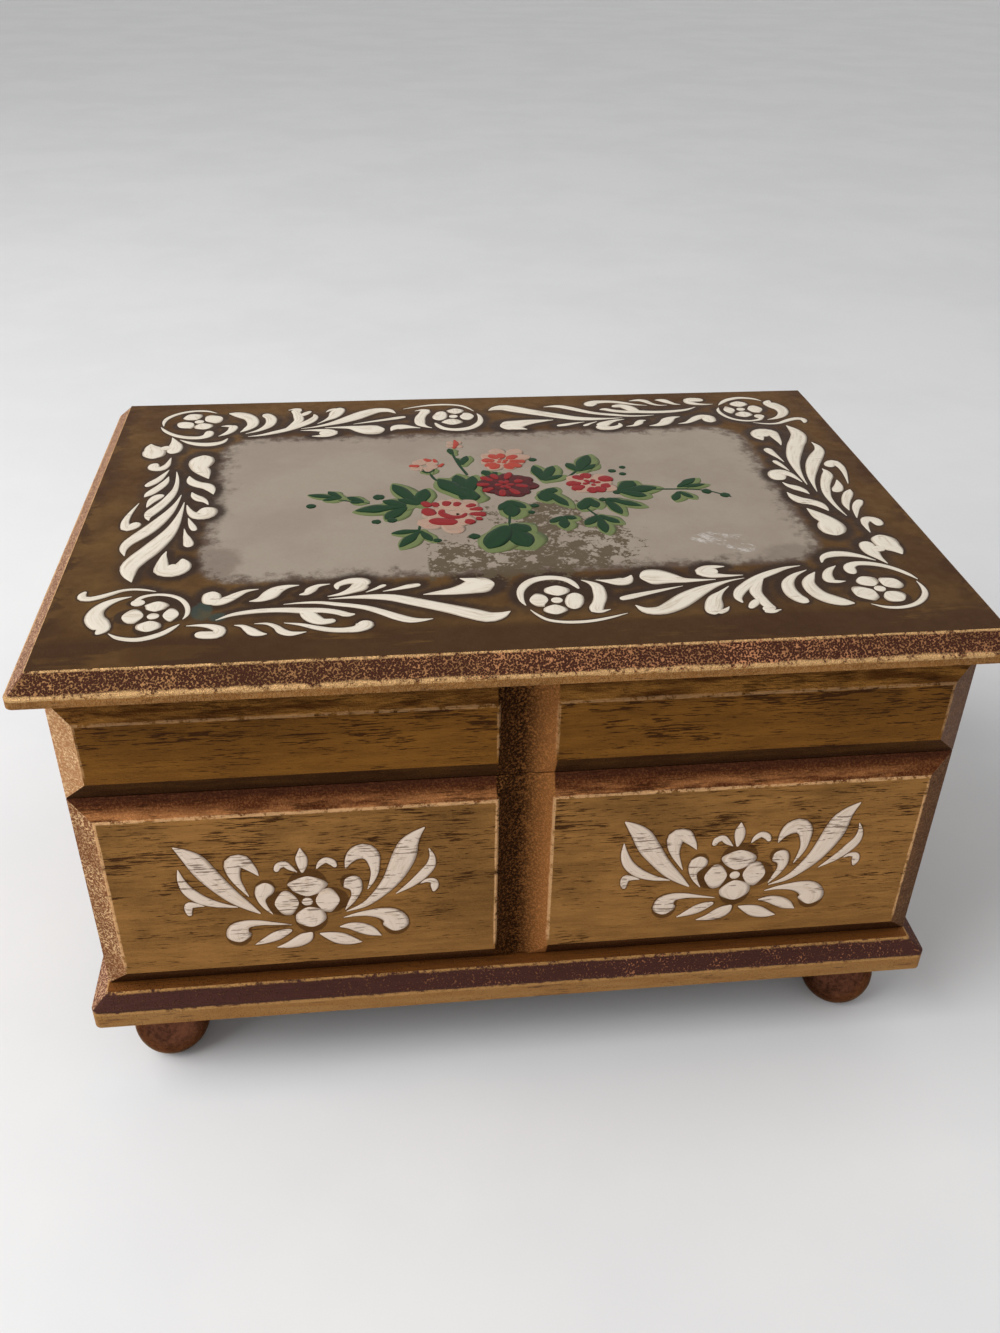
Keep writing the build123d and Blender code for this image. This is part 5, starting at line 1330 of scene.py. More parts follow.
SOUTH_SPRIG_EAST: tuple[Row, ...] = (
    (19.7, -49.5, 0.2, 22.3, -50.3, 1.6, 25.2, -50.9, 3.6, 27.4, -50.6, 3.6, 28.8, -48.9, 1.6, 29.3, -47.7, 0.2),
    (50.6, -51.7, 0.2, 46.0, -51.7, 1.3, 42.2, -51.4, 2.6, 39.3, -50.2, 5.2, 36.0, -49.2, 7.5, 33.4, -49.0, 7.0,
     31.3, -49.2, 4.4),
    (54.6, -45.1, 0.3, 51.9, -45.1, 1.8, 49.2, -45.8, 2.8, 47.9, -47.6, 3.6, 49.6, -49.1, 3.2, 53.0, -49.9, 1.7,
     58.3, -50.0, 0.2),
    (50.2, -47.3, 4.2),
    (41.4, -54.3, 0.2, 36.0, -55.9, 1.1, 30.0, -57.7, 1.8, 26.3, -58.9, 2.1, 24.1, -59.6, 1.6),
    (58.2, -51.5, 0.2, 53.8, -52.7, 0.9, 49.3, -54.7, 2.2, 45.4, -57.0, 3.9, 40.9, -60.4, 5.2, 37.0, -63.7, 5.0,
     32.8, -66.0, 3.8, 29.5, -65.6, 2.8, 27.3, -62.9, 0.2),
    (53.0, -55.4, 0.2, 50.3, -58.2, 1.3, 48.0, -61.1, 3.4, 46.8, -64.6, 4.6, 45.9, -67.4, 3.8, 45.8, -68.9, 2.4),
    (50.4, -65.5, 0.2, 49.0, -67.1, 1.5, 46.8, -68.2, 1.8),
    (74.8, -46.1, 0.2, 71.0, -46.9, 1.2, 66.4, -49.0, 2.3, 61.7, -51.7, 2.6, 57.7, -55.3, 3.0, 54.8, -58.8, 2.9,
     53.8, -61.7, 1.9, 54.3, -63.8, 0.5),
    (63.1, -51.8, 0.3, 60.6, -55.3, 2.4, 59.1, -58.8, 3.2, 59.4, -62.0, 3.2, 60.1, -65.3, 2.8, 61.1, -67.9, 2.6),
    (59.9, -67.3, 3.0), (58.5, -68.5, 0.8, 60.3, -68.7, 1.5, 62.9, -67.9, 0.3),
    (58.5, -62.7, 1.6, 57.0, -64.6, 2.3, 55.4, -66.7, 1.3),
    (75.7, -48.5, 0.2, 71.5, -51.2, 1.7, 68.6, -55.2, 3.3, 68.0, -58.8, 3.9, 68.6, -62.0, 3.9, 70.2, -64.2, 3.2,
     71.0, -64.8, 2.2),
    (77.5, -49.8, 0.2, 75.5, -52.4, 2.4, 74.0, -55.3, 3.5, 74.0, -58.8, 4.2, 75.2, -62.0, 4.6, 77.7, -64.4, 4.8,
     80.3, -65.7, 3.2, 82.3, -66.3, 0.4),
    (84.1, -46.9, 0.2, 81.6, -49.2, 2.0, 80.2, -51.9, 2.8, 79.9, -54.3, 3.0, 80.2, -55.7, 1.8),
    (83.9, -55.2, 0.2, 81.8, -55.3, 1.5, 80.0, -54.8, 2.0),
    (81.0, -45.0, 0.4, 82.3, -42.3, 1.8, 85.2, -40.7, 2.9, 88.7, -40.7, 2.8, 92.3, -42.1, 1.8, 95.9, -44.9, 0.2),
)
SOUTH_EAST_ROSE: tuple[Row, ...] = (
    (91.3, -59.7, 3.0),
    (90.3, -58.0, 2.6, 89.8, -56.3, 4.8, 89.2, -54.9, 5.2, 88.7, -53.4, 3.8),
    (93.3, -58.4, 3.2, 94.6, -57.4, 5.4, 95.6, -56.6, 5.6, 96.9, -55.2, 4.0),
    (89.1, -60.3, 3.4, 87.4, -61.3, 6.0, 86.2, -61.9, 6.4, 84.4, -62.9, 4.8),
    (92.4, -61.6, 3.0, 93.2, -63.0, 4.8, 93.9, -64.2, 5.4, 94.9, -65.9, 4.0),
    (87.5, -51.7, 2.0, 87.2, -49.8, 3.2, 87.6, -47.7, 3.1, 89.6, -46.3, 2.4, 92.5, -46.3, 2.2, 96.0, -47.5, 1.9,
     99.3, -50.0, 1.6, 101.7, -53.1, 1.2, 103.0, -55.7, 0.2),
    (102.3, -56.5, 0.2, 102.6, -59.5, 1.1, 102.1, -62.6, 1.6, 100.2, -65.6, 1.7, 97.0, -68.1, 1.5, 93.0, -69.2, 1.3,
     89.5, -68.8, 1.2, 86.2, -66.9, 0.2),
    (98.4, -46.8, 0.2, 97.3, -43.3, 2.2, 96.6, -40.1, 4.4, 96.6, -37.1, 4.8, 97.3, -34.1, 3.6),
    (104.4, -42.0, 0.3, 103.9, -39.4, 4.0, 102.8, -36.9, 6.8, 102.4, -33.9, 7.0, 102.4, -30.6, 4.8),
    (99.2, -38.4, 3.4),
)
EAST_SPRIG: tuple[Row, ...] = (
    (100.4, -28.9, 0.2, 100.6, -25.7, 1.3, 101.1, -22.8, 2.2, 102.5, -20.8, 3.0, 104.4, -21.4, 3.4,
     104.7, -23.4, 3.2, 104.1, -24.9, 2.0),
    (87.6, -12.6, 0.2, 88.6, -15.2, 2.6, 89.7, -18.0, 4.6, 90.9, -20.6, 5.4, 91.0, -23.2, 7.0, 90.7, -25.7, 7.6,
     90.5, -28.0, 6.2, 90.5, -29.9, 4.0),
    (85.2, -1.7, 0.2, 86.1, -4.8, 2.6, 87.7, -7.4, 3.9, 90.0, -8.6, 3.7, 92.0, -10.4, 3.3, 93.0, -12.8, 1.9,
     93.4, -14.8, 0.2),
    (86.0, 5.2, 0.2, 87.1, 2.9, 1.7, 88.8, 1.2, 3.0, 90.4, -0.8, 2.2, 91.5, -3.4, 0.2),
    (92.0, 4.9, 0.2, 91.1, 8.0, 1.4, 89.9, 10.6, 2.6, 88.1, 12.2, 4.2, 86.4, 11.6, 5.6, 86.0, 9.4, 6.0,
     87.0, 7.0, 4.0),
    (90.7, 13.3, 0.2, 89.7, 16.6, 1.4, 88.8, 19.2, 2.0, 88.1, 21.2, 1.5),
    (91.1, 19.9, 0.2, 90.3, 23.6, 1.2, 89.4, 26.8, 2.5, 88.9, 29.2, 2.8, 88.8, 30.8, 2.0),
    (89.6, 37.3, 0.6, 89.1, 40.0, 3.8, 89.4, 42.8, 4.8, 91.3, 44.1, 5.4, 93.9, 43.4, 4.6, 94.4, 40.5, 3.4,
     94.5, 37.5, 2.2, 94.5, 35.0, 1.2, 94.2, 32.8, 0.2),
    (91.5, 41.6, 3.0),
    (100.9, 48.9, 0.2, 102.0, 45.5, 3.0, 102.5, 41.0, 4.8, 101.2, 37.0, 5.4, 98.9, 32.5, 5.6, 97.0, 28.0, 5.2,
     95.5, 24.0, 4.5, 94.4, 20.0, 3.5, 93.6, 15.0, 2.4, 93.1, 9.0, 1.2, 92.9, 3.0, 0.2),
    (104.8, 34.6, 0.2, 105.6, 31.0, 2.1, 105.0, 27.5, 3.2, 103.6, 25.0, 3.9, 101.8, 22.0, 4.3, 99.7, 18.0, 4.2,
     97.8, 13.5, 3.6, 96.1, 8.5, 2.5, 95.0, 3.5, 1.2, 94.3, -2.0, 0.2),
    (97.5, -18.3, 0.2, 96.8, -14.0, 0.9, 96.4, -9.0, 1.4, 96.5, -5.5, 1.9, 97.1, -2.0, 2.6, 98.2, 2.0, 2.9,
     99.8, 6.0, 3.3, 101.5, 9.8, 3.3, 101.8, 12.3, 1.7, 101.3, 14.1, 0.2),
    (103.0, 5.7, 0.3, 102.6, 3.5, 1.6, 101.8, 0.8, 2.9, 100.4, -1.4, 3.0, 99.2, -2.2, 1.6),
    (105.5, 2.8, 0.2, 106.6, 7.5, 1.0, 107.4, 12.0, 1.8, 107.5, 15.5, 2.4, 106.4, 18.6, 3.2, 104.8, 17.2, 3.4,
     104.4, 15.0, 3.2),
    (104.6, -1.2, 0.3, 103.8, -2.8, 2.2, 102.4, -5.3, 3.0, 100.9, -8.2, 2.7, 99.9, -11.0, 2.1, 99.4, -15.0, 0.2),
    (99.9, -19.8, 0.2, 100.9, -16.5, 1.4, 102.1, -13.2, 2.3, 103.9, -10.3, 2.7, 105.2, -8.3, 1.8),
)
# The drawer's motif, seen from the front, on the right panel.
PANEL_MOTIF: tuple[Row, ...] = (
    (59.5, 64.5, 2.9),
    (59.6, 66.8, 3.8, 59.8, 68.6, 7.0, 60.0, 71.0, 9.3, 60.1, 73.4, 6.6),
    (57.0, 64.6, 4.6, 55.2, 64.5, 7.4, 53.4, 64.4, 7.9, 51.1, 64.4, 5.0),
    (62.0, 64.6, 4.5, 64.0, 64.6, 7.6, 65.8, 64.6, 7.9, 67.9, 64.5, 5.0),
    (59.6, 62.2, 4.4, 59.9, 60.2, 6.8, 60.2, 57.8, 7.4, 60.4, 55.4, 5.2),
    (58.9, 75.1, 0.6, 59.1, 78.0, 2.7, 59.0, 80.5, 2.9, 58.9, 83.7, 0.3),
    (52.1, 76.0, 1.2, 53.0, 78.0, 2.0, 54.4, 78.5, 2.0, 55.8, 77.1, 1.7, 57.6, 75.4, 0.2),
    (62.7, 76.2, 0.3, 63.8, 78.0, 1.5, 65.3, 79.0, 1.9, 66.8, 78.2, 2.1, 67.8, 76.4, 1.0),
    (50.0, 60.7, 0.2, 48.2, 63.8, 1.4, 47.5, 66.2, 2.3, 47.9, 68.4, 4.2, 48.7, 70.0, 5.0, 49.1, 72.2, 4.2),
    (69.5, 60.7, 0.2, 71.2, 63.5, 1.5, 72.4, 66.0, 2.2, 72.7, 68.3, 3.4, 71.6, 70.6, 5.2, 70.2, 72.0, 4.2),
    (44.3, 67.7, 0.2, 42.9, 70.7, 1.3, 41.6, 73.9, 2.5, 41.1, 77.1, 4.0, 41.6, 80.0, 5.0, 43.5, 80.4, 4.6,
     45.1, 78.7, 3.2, 46.5, 76.8, 1.8, 47.5, 74.9, 0.2),
    (75.8, 67.7, 0.2, 77.1, 70.7, 1.3, 77.9, 73.6, 2.1, 77.9, 76.5, 3.0, 77.2, 79.8, 4.5, 75.5, 81.3, 5.2,
     73.3, 80.7, 4.6, 71.5, 78.7, 2.6, 70.3, 75.7, 0.3),
    (26.8, 86.4, 0.3, 29.1, 84.3, 3.0, 31.5, 81.6, 5.2, 34.0, 77.0, 5.8, 37.0, 72.2, 5.0, 40.5, 67.5, 4.0,
     43.7, 64.2, 2.6, 46.8, 61.2, 0.4),
    (91.5, 88.4, 0.3, 89.2, 86.0, 2.8, 87.3, 83.2, 5.0, 86.0, 79.2, 6.3, 84.4, 74.9, 5.9, 82.0, 70.1, 4.6,
     78.8, 65.9, 3.2, 74.7, 62.1, 1.7, 69.7, 60.0, 0.2),
    (27.1, 78.7, 0.2, 27.5, 74.9, 2.0, 28.8, 71.1, 3.1, 31.8, 67.7, 3.2, 36.0, 65.5, 2.0, 41.1, 64.1, 0.2),
    (92.5, 81.0, 0.2, 93.3, 78.0, 1.5, 92.9, 75.0, 2.5, 91.2, 72.4, 2.8, 87.8, 68.8, 2.1, 83.3, 65.4, 0.2),
    (28.3, 62.0, 1.0, 28.1, 64.0, 2.0, 28.6, 65.8, 2.4, 30.1, 65.8, 1.6, 32.4, 65.2, 0.2),
    (90.0, 68.6, 0.2, 91.7, 69.5, 1.2, 93.5, 69.2, 1.9, 93.8, 67.2, 2.1, 93.5, 65.4, 0.6),
    (54.7, 56.3, 0.2, 49.9, 57.2, 1.0, 45.6, 57.8, 2.0, 42.4, 57.4, 3.3, 40.6, 55.6, 6.2, 40.3, 53.6, 6.6,
     40.4, 51.1, 4.6),
    (68.8, 57.8, 0.2, 72.5, 58.6, 1.2, 76.0, 58.8, 2.4, 79.2, 58.4, 4.2, 81.8, 57.1, 6.4, 82.9, 55.0, 7.4,
     83.0, 51.5, 5.2),
    (44.3, 49.6, 0.2, 47.5, 51.0, 2.2, 50.3, 52.4, 3.3, 53.0, 53.7, 2.2, 54.6, 54.3, 0.8),
    (50.1, 48.0, 0.2, 53.5, 48.7, 2.4, 56.6, 50.0, 4.0, 58.8, 51.6, 3.2, 60.0, 52.9, 0.6),
    (62.0, 52.3, 0.3, 64.6, 51.2, 2.8, 67.5, 49.9, 4.2, 70.5, 48.7, 3.0, 73.4, 48.0, 0.2),
    (67.6, 54.4, 0.3, 70.3, 54.4, 2.2, 73.3, 53.4, 3.6, 76.3, 51.7, 3.0, 78.8, 50.0, 0.2),
)
# The flower spray. Each leaf is its base's x and y, then x, y and width of each lobe's tip.
LEAVES: tuple[Row, ...] = (
    (-45.0, 3.8, -49.0, 8.6, 2.8, -54.8, 6.6, 2.8, -50.5, 2.6, 2.4),
    (-38.6, 0.6, -43.4, 4.4, 3.2, -42.6, 0.6, 2.2),
    (-23.0, -2.4, -30.2, 12.2, 5.2, -20.6, 8.4, 4.6, -29.0, 2.0, 3.6),
    (-26.6, -2.8, -41.4, -5.0, 5.4, -33.4, 1.2, 4.6, -33.0, -11.0, 4.8),
    (-23.6, -18.4, -20.6, -25.0, 2.8, -29.6, -28.0, 3.8, -31.6, -19.6, 3.0),
    (0.8, -17.0, -6.0, -30.8, 8.2, 5.0, -30.4, 8.2, 7.0, -20.6, 6.0),
    (3.0, -1.4, 2.8, -12.2, 6.4, -0.6, -7.6, 3.6, 7.2, -6.8, 3.4),
    (26.0, -1.2, 22.6, -9.0, 4.4, 27.6, -8.0, 3.8),
    (17.0, -12.6, 12.6, -16.4, 3.0, 16.2, -20.4, 3.8, 20.6, -14.4, 2.8),
    (27.0, -12.6, 22.2, -18.6, 3.6, 27.2, -23.8, 3.6, 32.2, -18.0, 3.4),
    (31.0, -2.2, 35.4, -4.0, 3.0, 40.6, -7.8, 3.6, 33.8, -12.6, 3.8),
    (35.6, 2.6, 41.4, 9.4, 5.4, 47.6, 4.4, 5.0, 43.4, -1.4, 4.4),
    (53.6, 4.0, 60.4, 10.0, 3.2, 62.4, 5.6, 2.8), (53.4, 1.2, 50.6, -5.0, 3.2, 56.6, -3.6, 2.6),
    (26.0, 17.0, 31.0, 29.4, 5.0, 23.4, 23.8, 3.2, 32.4, 22.4, 3.2),
    (14.6, 11.4, 13.0, 22.8, 3.8, 19.0, 22.0, 4.2, 21.0, 15.0, 3.2),
    (-9.0, 1.6, -16.6, 15.0, 6.6, -11.0, 17.6, 6.2, -6.0, 16.4, 5.0),
    (-8.0, 7.0, -8.4, -1.8, 6.6, -13.4, 7.0, 5.6), (-1.0, 15.4, -2.6, 20.2, 3.2, 1.4, 18.8, 3.0),
    (14.0, 5.0, 13.6, -3.0, 5.4, 19.6, -6.4, 3.6, 18.0, 4.0, 4.2),
    (-19.2, 19.0, -21.0, 22.6, 2.8, -17.6, 22.8, 2.4), (-8.8, 24.4, -6.6, 31.4, 2.8, -10.0, 30.0, 1.8),
    (-11.0, 32.6, -11.8, 37.4, 2.4),
)
BERRIES: tuple[Row, ...] = (
    (-53.6, -1.0, 2.8), (-34.4, 3.6, 3.4), (13.4, 27.0, 2.6), (36.4, 17.0, 2.4), (40.0, 19.4, 2.0),
    (39.2, 14.6, 2.2), (-19.2, -24.6, 2.4), (-9.0, -23.0, 3.2), (-35.4, -12.2, 2.6), (-31.0, -11.6, 2.8),
    (61.6, 0.6, 3.0), (66.4, -2.2, 3.0), (35.0, 1.8, 2.4), (30.0, -2.6, 2.2), (9.8, -5.2, 2.6), (8.4, -9.4, 2.0),
)
STEMS: tuple[Row, ...] = (
    (-19.0, 20.4, 0.8, -17.6, 15.0, 0.9, -15.0, 11.0, 0.8), (-11.2, 36.0, 0.6, -10.0, 27.0, 0.8, -7.6, 17.0, 0.9),
    (-37.0, -0.4, 0.6, -46.0, 2.6, 0.5),
    (35.0, 2.4, 0.6, 50.0, 3.0, 0.6, 62.0, 1.0, 0.5, 68.0, -3.6, 0.4),
    (22.0, 13.0, 0.8, 26.6, 19.0, 0.8), (2.4, -8.0, 0.7, 1.0, -18.4, 0.7), (24.4, -8.0, 0.6, 27.0, -14.0, 0.6),
    (-23.0, -12.0, 0.7, -24.0, -19.0, 0.7),
)
FIRST_FLOWER: tuple[Row, ...] = (
    (-21.8, -0.8, 1.4, -20.2, -3.6, 2.4), (-21.4, -5.2, 2.2, -19.8, -9.4, 3.2),
    (-20.4, -13.0, 1.6, -17.0, -13.7, 3.0, -13.4, -14.2, 2.4), (-10.4, -15.4, 1.4, -8.8, -13.2, 2.8),
    (-7.4, -13.0, 1.2, -6.2, -12.0, 1.8), (-9.0, -9.4, 1.2, -4.8, -9.8, 2.2), (-8.8, -6.6, 1.0, -5.4, -6.2, 1.9),
    (-9.6, -4.8, 1.0, -7.2, -3.4, 2.0), (-12.8, -4.2, 1.0, -11.8, -1.8, 2.2), (-15.6, -3.8, 1.2, -14.9, -1.0, 2.4),
    (-18.0, -4.0, 1.0, -18.8, -1.4, 2.0),
    (-16.2, -6.4, 0.8, -16.6, -8.6, 1.6, -14.4, -10.8, 1.8, -11.6, -10.6, 1.4, -10.6, -8.8, 0.8),
)
SMALL_FLOWERS: tuple[Row, ...] = (
    (-24.8, 24.8, 1.2, -21.6, 24.2, 2.4), (-20.0, 29.6, 1.2, -18.0, 27.6, 2.4),
    (-17.0, 29.4, 0.9, -16.4, 26.6, 1.8), (-14.2, 25.8, 0.9, -15.8, 23.6, 1.8),
    (-9.6, 44.0, 0.5, -9.2, 41.0, 1.8, -10.2, 37.2, 1.0),
)
# Flowers: x, y, inner and outer radius, how many petals, a petal's width, the first one's angle, and the seed.
PALE_FLOWERS: tuple[Row, ...] = (
    (-17.0, -12.0, 1.0, 7.8, 7, 6.6, 190, 3), (-13.4, -7.6, 1.0, 8.6, 9, 7.0, 10, 2),
    (28.6, 8.7, 1.0, 7.2, 8, 5.8, 5, 4), (4.4, 28.0, 1.0, 8.2, 8, 5.6, 15, 5),
    (-20.0, 24.6, 0.8, 4.6, 6, 4.0, 30, 6), (-9.8, 40.6, 0.4, 3.2, 4, 2.6, 45, 7),
)
DARK_FLOWER: tuple[Row, ...] = ((3.3, 9.2, 0.6, 8.8, 9, 6.6, 8, 10), (5.6, 8.2, 0.6, 7.4, 7, 5.0, 300, 12))
RED_FLOWERS: tuple[Row, ...] = (
    (2.2, 9.6, 3.8, 7.8, 9, 2.4, 20, 11), (2.6, 9.4, 0.6, 3.0, 6, 1.7, 0, 9),
    (28.6, 8.7, 3.0, 7.2, 9, 3.6, 12, 13), (28.6, 8.7, 0.6, 2.6, 5, 1.6, 0, 14),
)
CORAL_FLOWER: tuple[Row, ...] = ((3.8, 26.2, 2.2, 6.2, 9, 3.0, 6, 15), (3.8, 26.2, 0.3, 1.8, 4, 1.6, 25, 16))


def strokes_of(*tables: Iterable[Row]) -> list[Stroke]:
    """The strokes of tables of rows, in order."""
    return [Stroke.read(row) for table in tables for row in table]


def full_rose(rows: Sequence[Row], wider: float = 1.18, longer: float = 1.08) -> list[Stroke]:
    """A rose's strokes, its four petals, which follow its heart in the table, spread wider and longer."""
    made = strokes_of(rows)
    return made[:1] + [petal.grown(wider, longer) for petal in made[1:5]] + made[5:]


def lobed_leaf(row: Row) -> list[Stroke]:
    """A lobed leaf from a row of base, then tip and width of each lobe: a pointed stroke to each tip."""
    base, lobes = np.array(row[:2], float), np.reshape(row[2:], (-1, 3))
    share, swell = np.array([0, 0.32, 0.64, 0.87, 1])[:, None], np.array([0.4, 0.8, 1, 0.62, 0.1])
    return [Stroke(base + (lobe[:2] - base) * share, lobe[2] * swell) for lobe in lobes]


def rosette(x: float, y: float, inner: float, outer: float, count: int, width: float,
            turn: float, seed: int) -> list[Stroke]:
    """Petals round a centre: the n-th points along the angle 360 n / count + turn, from inner to outer radius.

    Args:
        x, y: the flower's middle.
        inner, outer: the radii between which a petal runs.
        count: how many petals.
        width: a petal's full width.
        turn: the first one's angle in degrees.
        seed: for the slight differences between petals.

    Returns:
        The petals' strokes.
    """
    dice = np.random.default_rng(seed)
    angle = np.radians(np.arange(count) * 360 / count + turn) + 0.12 * dice.standard_normal(count)
    reach = outer * (1 + 0.08 * dice.standard_normal(count))
    ray = np.stack([np.cos(angle), np.sin(angle)], 1)
    share, swell = np.array([0, 0.6, 1])[:, None], np.array([0.55, 1, 0.72])
    return [Stroke(np.array([x, y]) + direction * (inner + (far - inner) * share), width * swell)
            for direction, far in zip(ray, reach)]


def rosettes(rows: Iterable[Row]) -> list[Stroke]:
    """The petals of a table of flowers, in order."""
    return [petal for row in rows for petal in rosette(*row)]


VELVET = Velvet("wine velvet")
CREAM = BrushPaint("cream scroll paint", wear=0.12)


def corners_mm(node: str) -> tuple[np.ndarray, np.ndarray]:
    """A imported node's lowest and highest corner in millimetres."""
    low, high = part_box(node)
    return np.array(low) / MM, np.array(high) / MM


def box_mm(node: str) -> tuple[Corner, Corner]:
    """The same corners, rounded, for a finish."""
    return tuple(tuple(round(part / MM, 3) for part in corner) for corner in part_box(node))


def from_rim(x: np.ndarray, y: np.ndarray, low: np.ndarray, high: np.ndarray) -> tuple[np.ndarray, np.ndarray]:
    """How far places lie in from a rectangle's nearer side: across x, and along y."""
    return np.minimum(x - low[0], high[0] - x), np.minimum(y - low[1], high[1] - y)


def laid_cloth(name: str, node: str, body: str, cut: Optional[tuple], seed: int, pitch: float = 1.1,
               gap: float = 0.3, wave: float = 0.06) -> bpy.types.Object:
    """A cloth laid on a board: gently uneven, its rim rounded over, with an optional corner cut out.

    The height is the cloth's thickness times 1 - exp(-distance from the rim), less a slow wave, which is the
    mean of five sines.

    Args:
        name: the new piece's name.
        node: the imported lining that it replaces.
        body: the body that it rides on.
        cut: the corners of a block that stands in the cloth's rear left corner, or None.
        seed: for the wave.
        pitch: the grid's spacing in millimetres.
        gap: how far the cloth stays away from the block.
        wave: half the wave's full depth.

    Returns:
        The new piece.
    """
    low, high = corners_mm(node)
    dice = np.random.default_rng(seed)
    xs, ys = (spaced(low[axis], high[axis], pitch) for axis in (0, 1))
    keep = np.ones((len(xs) - 1, len(ys) - 1), bool)
    if cut is not None:
        edge_x, edge_y = cut[1][0] + gap, cut[0][1] - gap
        xs[np.abs(xs - edge_x).argmin()] = edge_x
        ys[np.abs(ys - edge_y).argmin()] = edge_y
        keep = ~((xs[:-1, None] < edge_x - 0.01) & (ys[None, 1:] > edge_y + 0.01))
    x, y = np.meshgrid(xs, ys, indexing="ij")
    rim = np.minimum(*from_rim(x, y, low, high))
    sines = dice.uniform((-0.09, -0.09, 0), (0.09, 0.09, 6), (5, 3))
    waves = sum(np.sin(x * a + y * b + c) for a, b, c in sines) / len(sines)
    top = (high[2] - low[2]) * (0.35 + 0.65 * (1 - np.exp(-rim / 0.5))) - wave * (1 + waves)
    sheet = slab(xs, ys, top, 0.0, Ground(low[2]), keep)
    made = sheet.piece(name, VELVET, body, Slot.VELVET)
    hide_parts(node)
    return made


def dress_wood(nodes: dict, ways: dict[str, int]) -> None:
    """Dresses bare boards, given by name with the axis that the grain of each runs along."""
    for name, way in ways.items():
        BareWood(f"{name} wood", *box_mm(name), lengthways=way).dress(nodes[name])


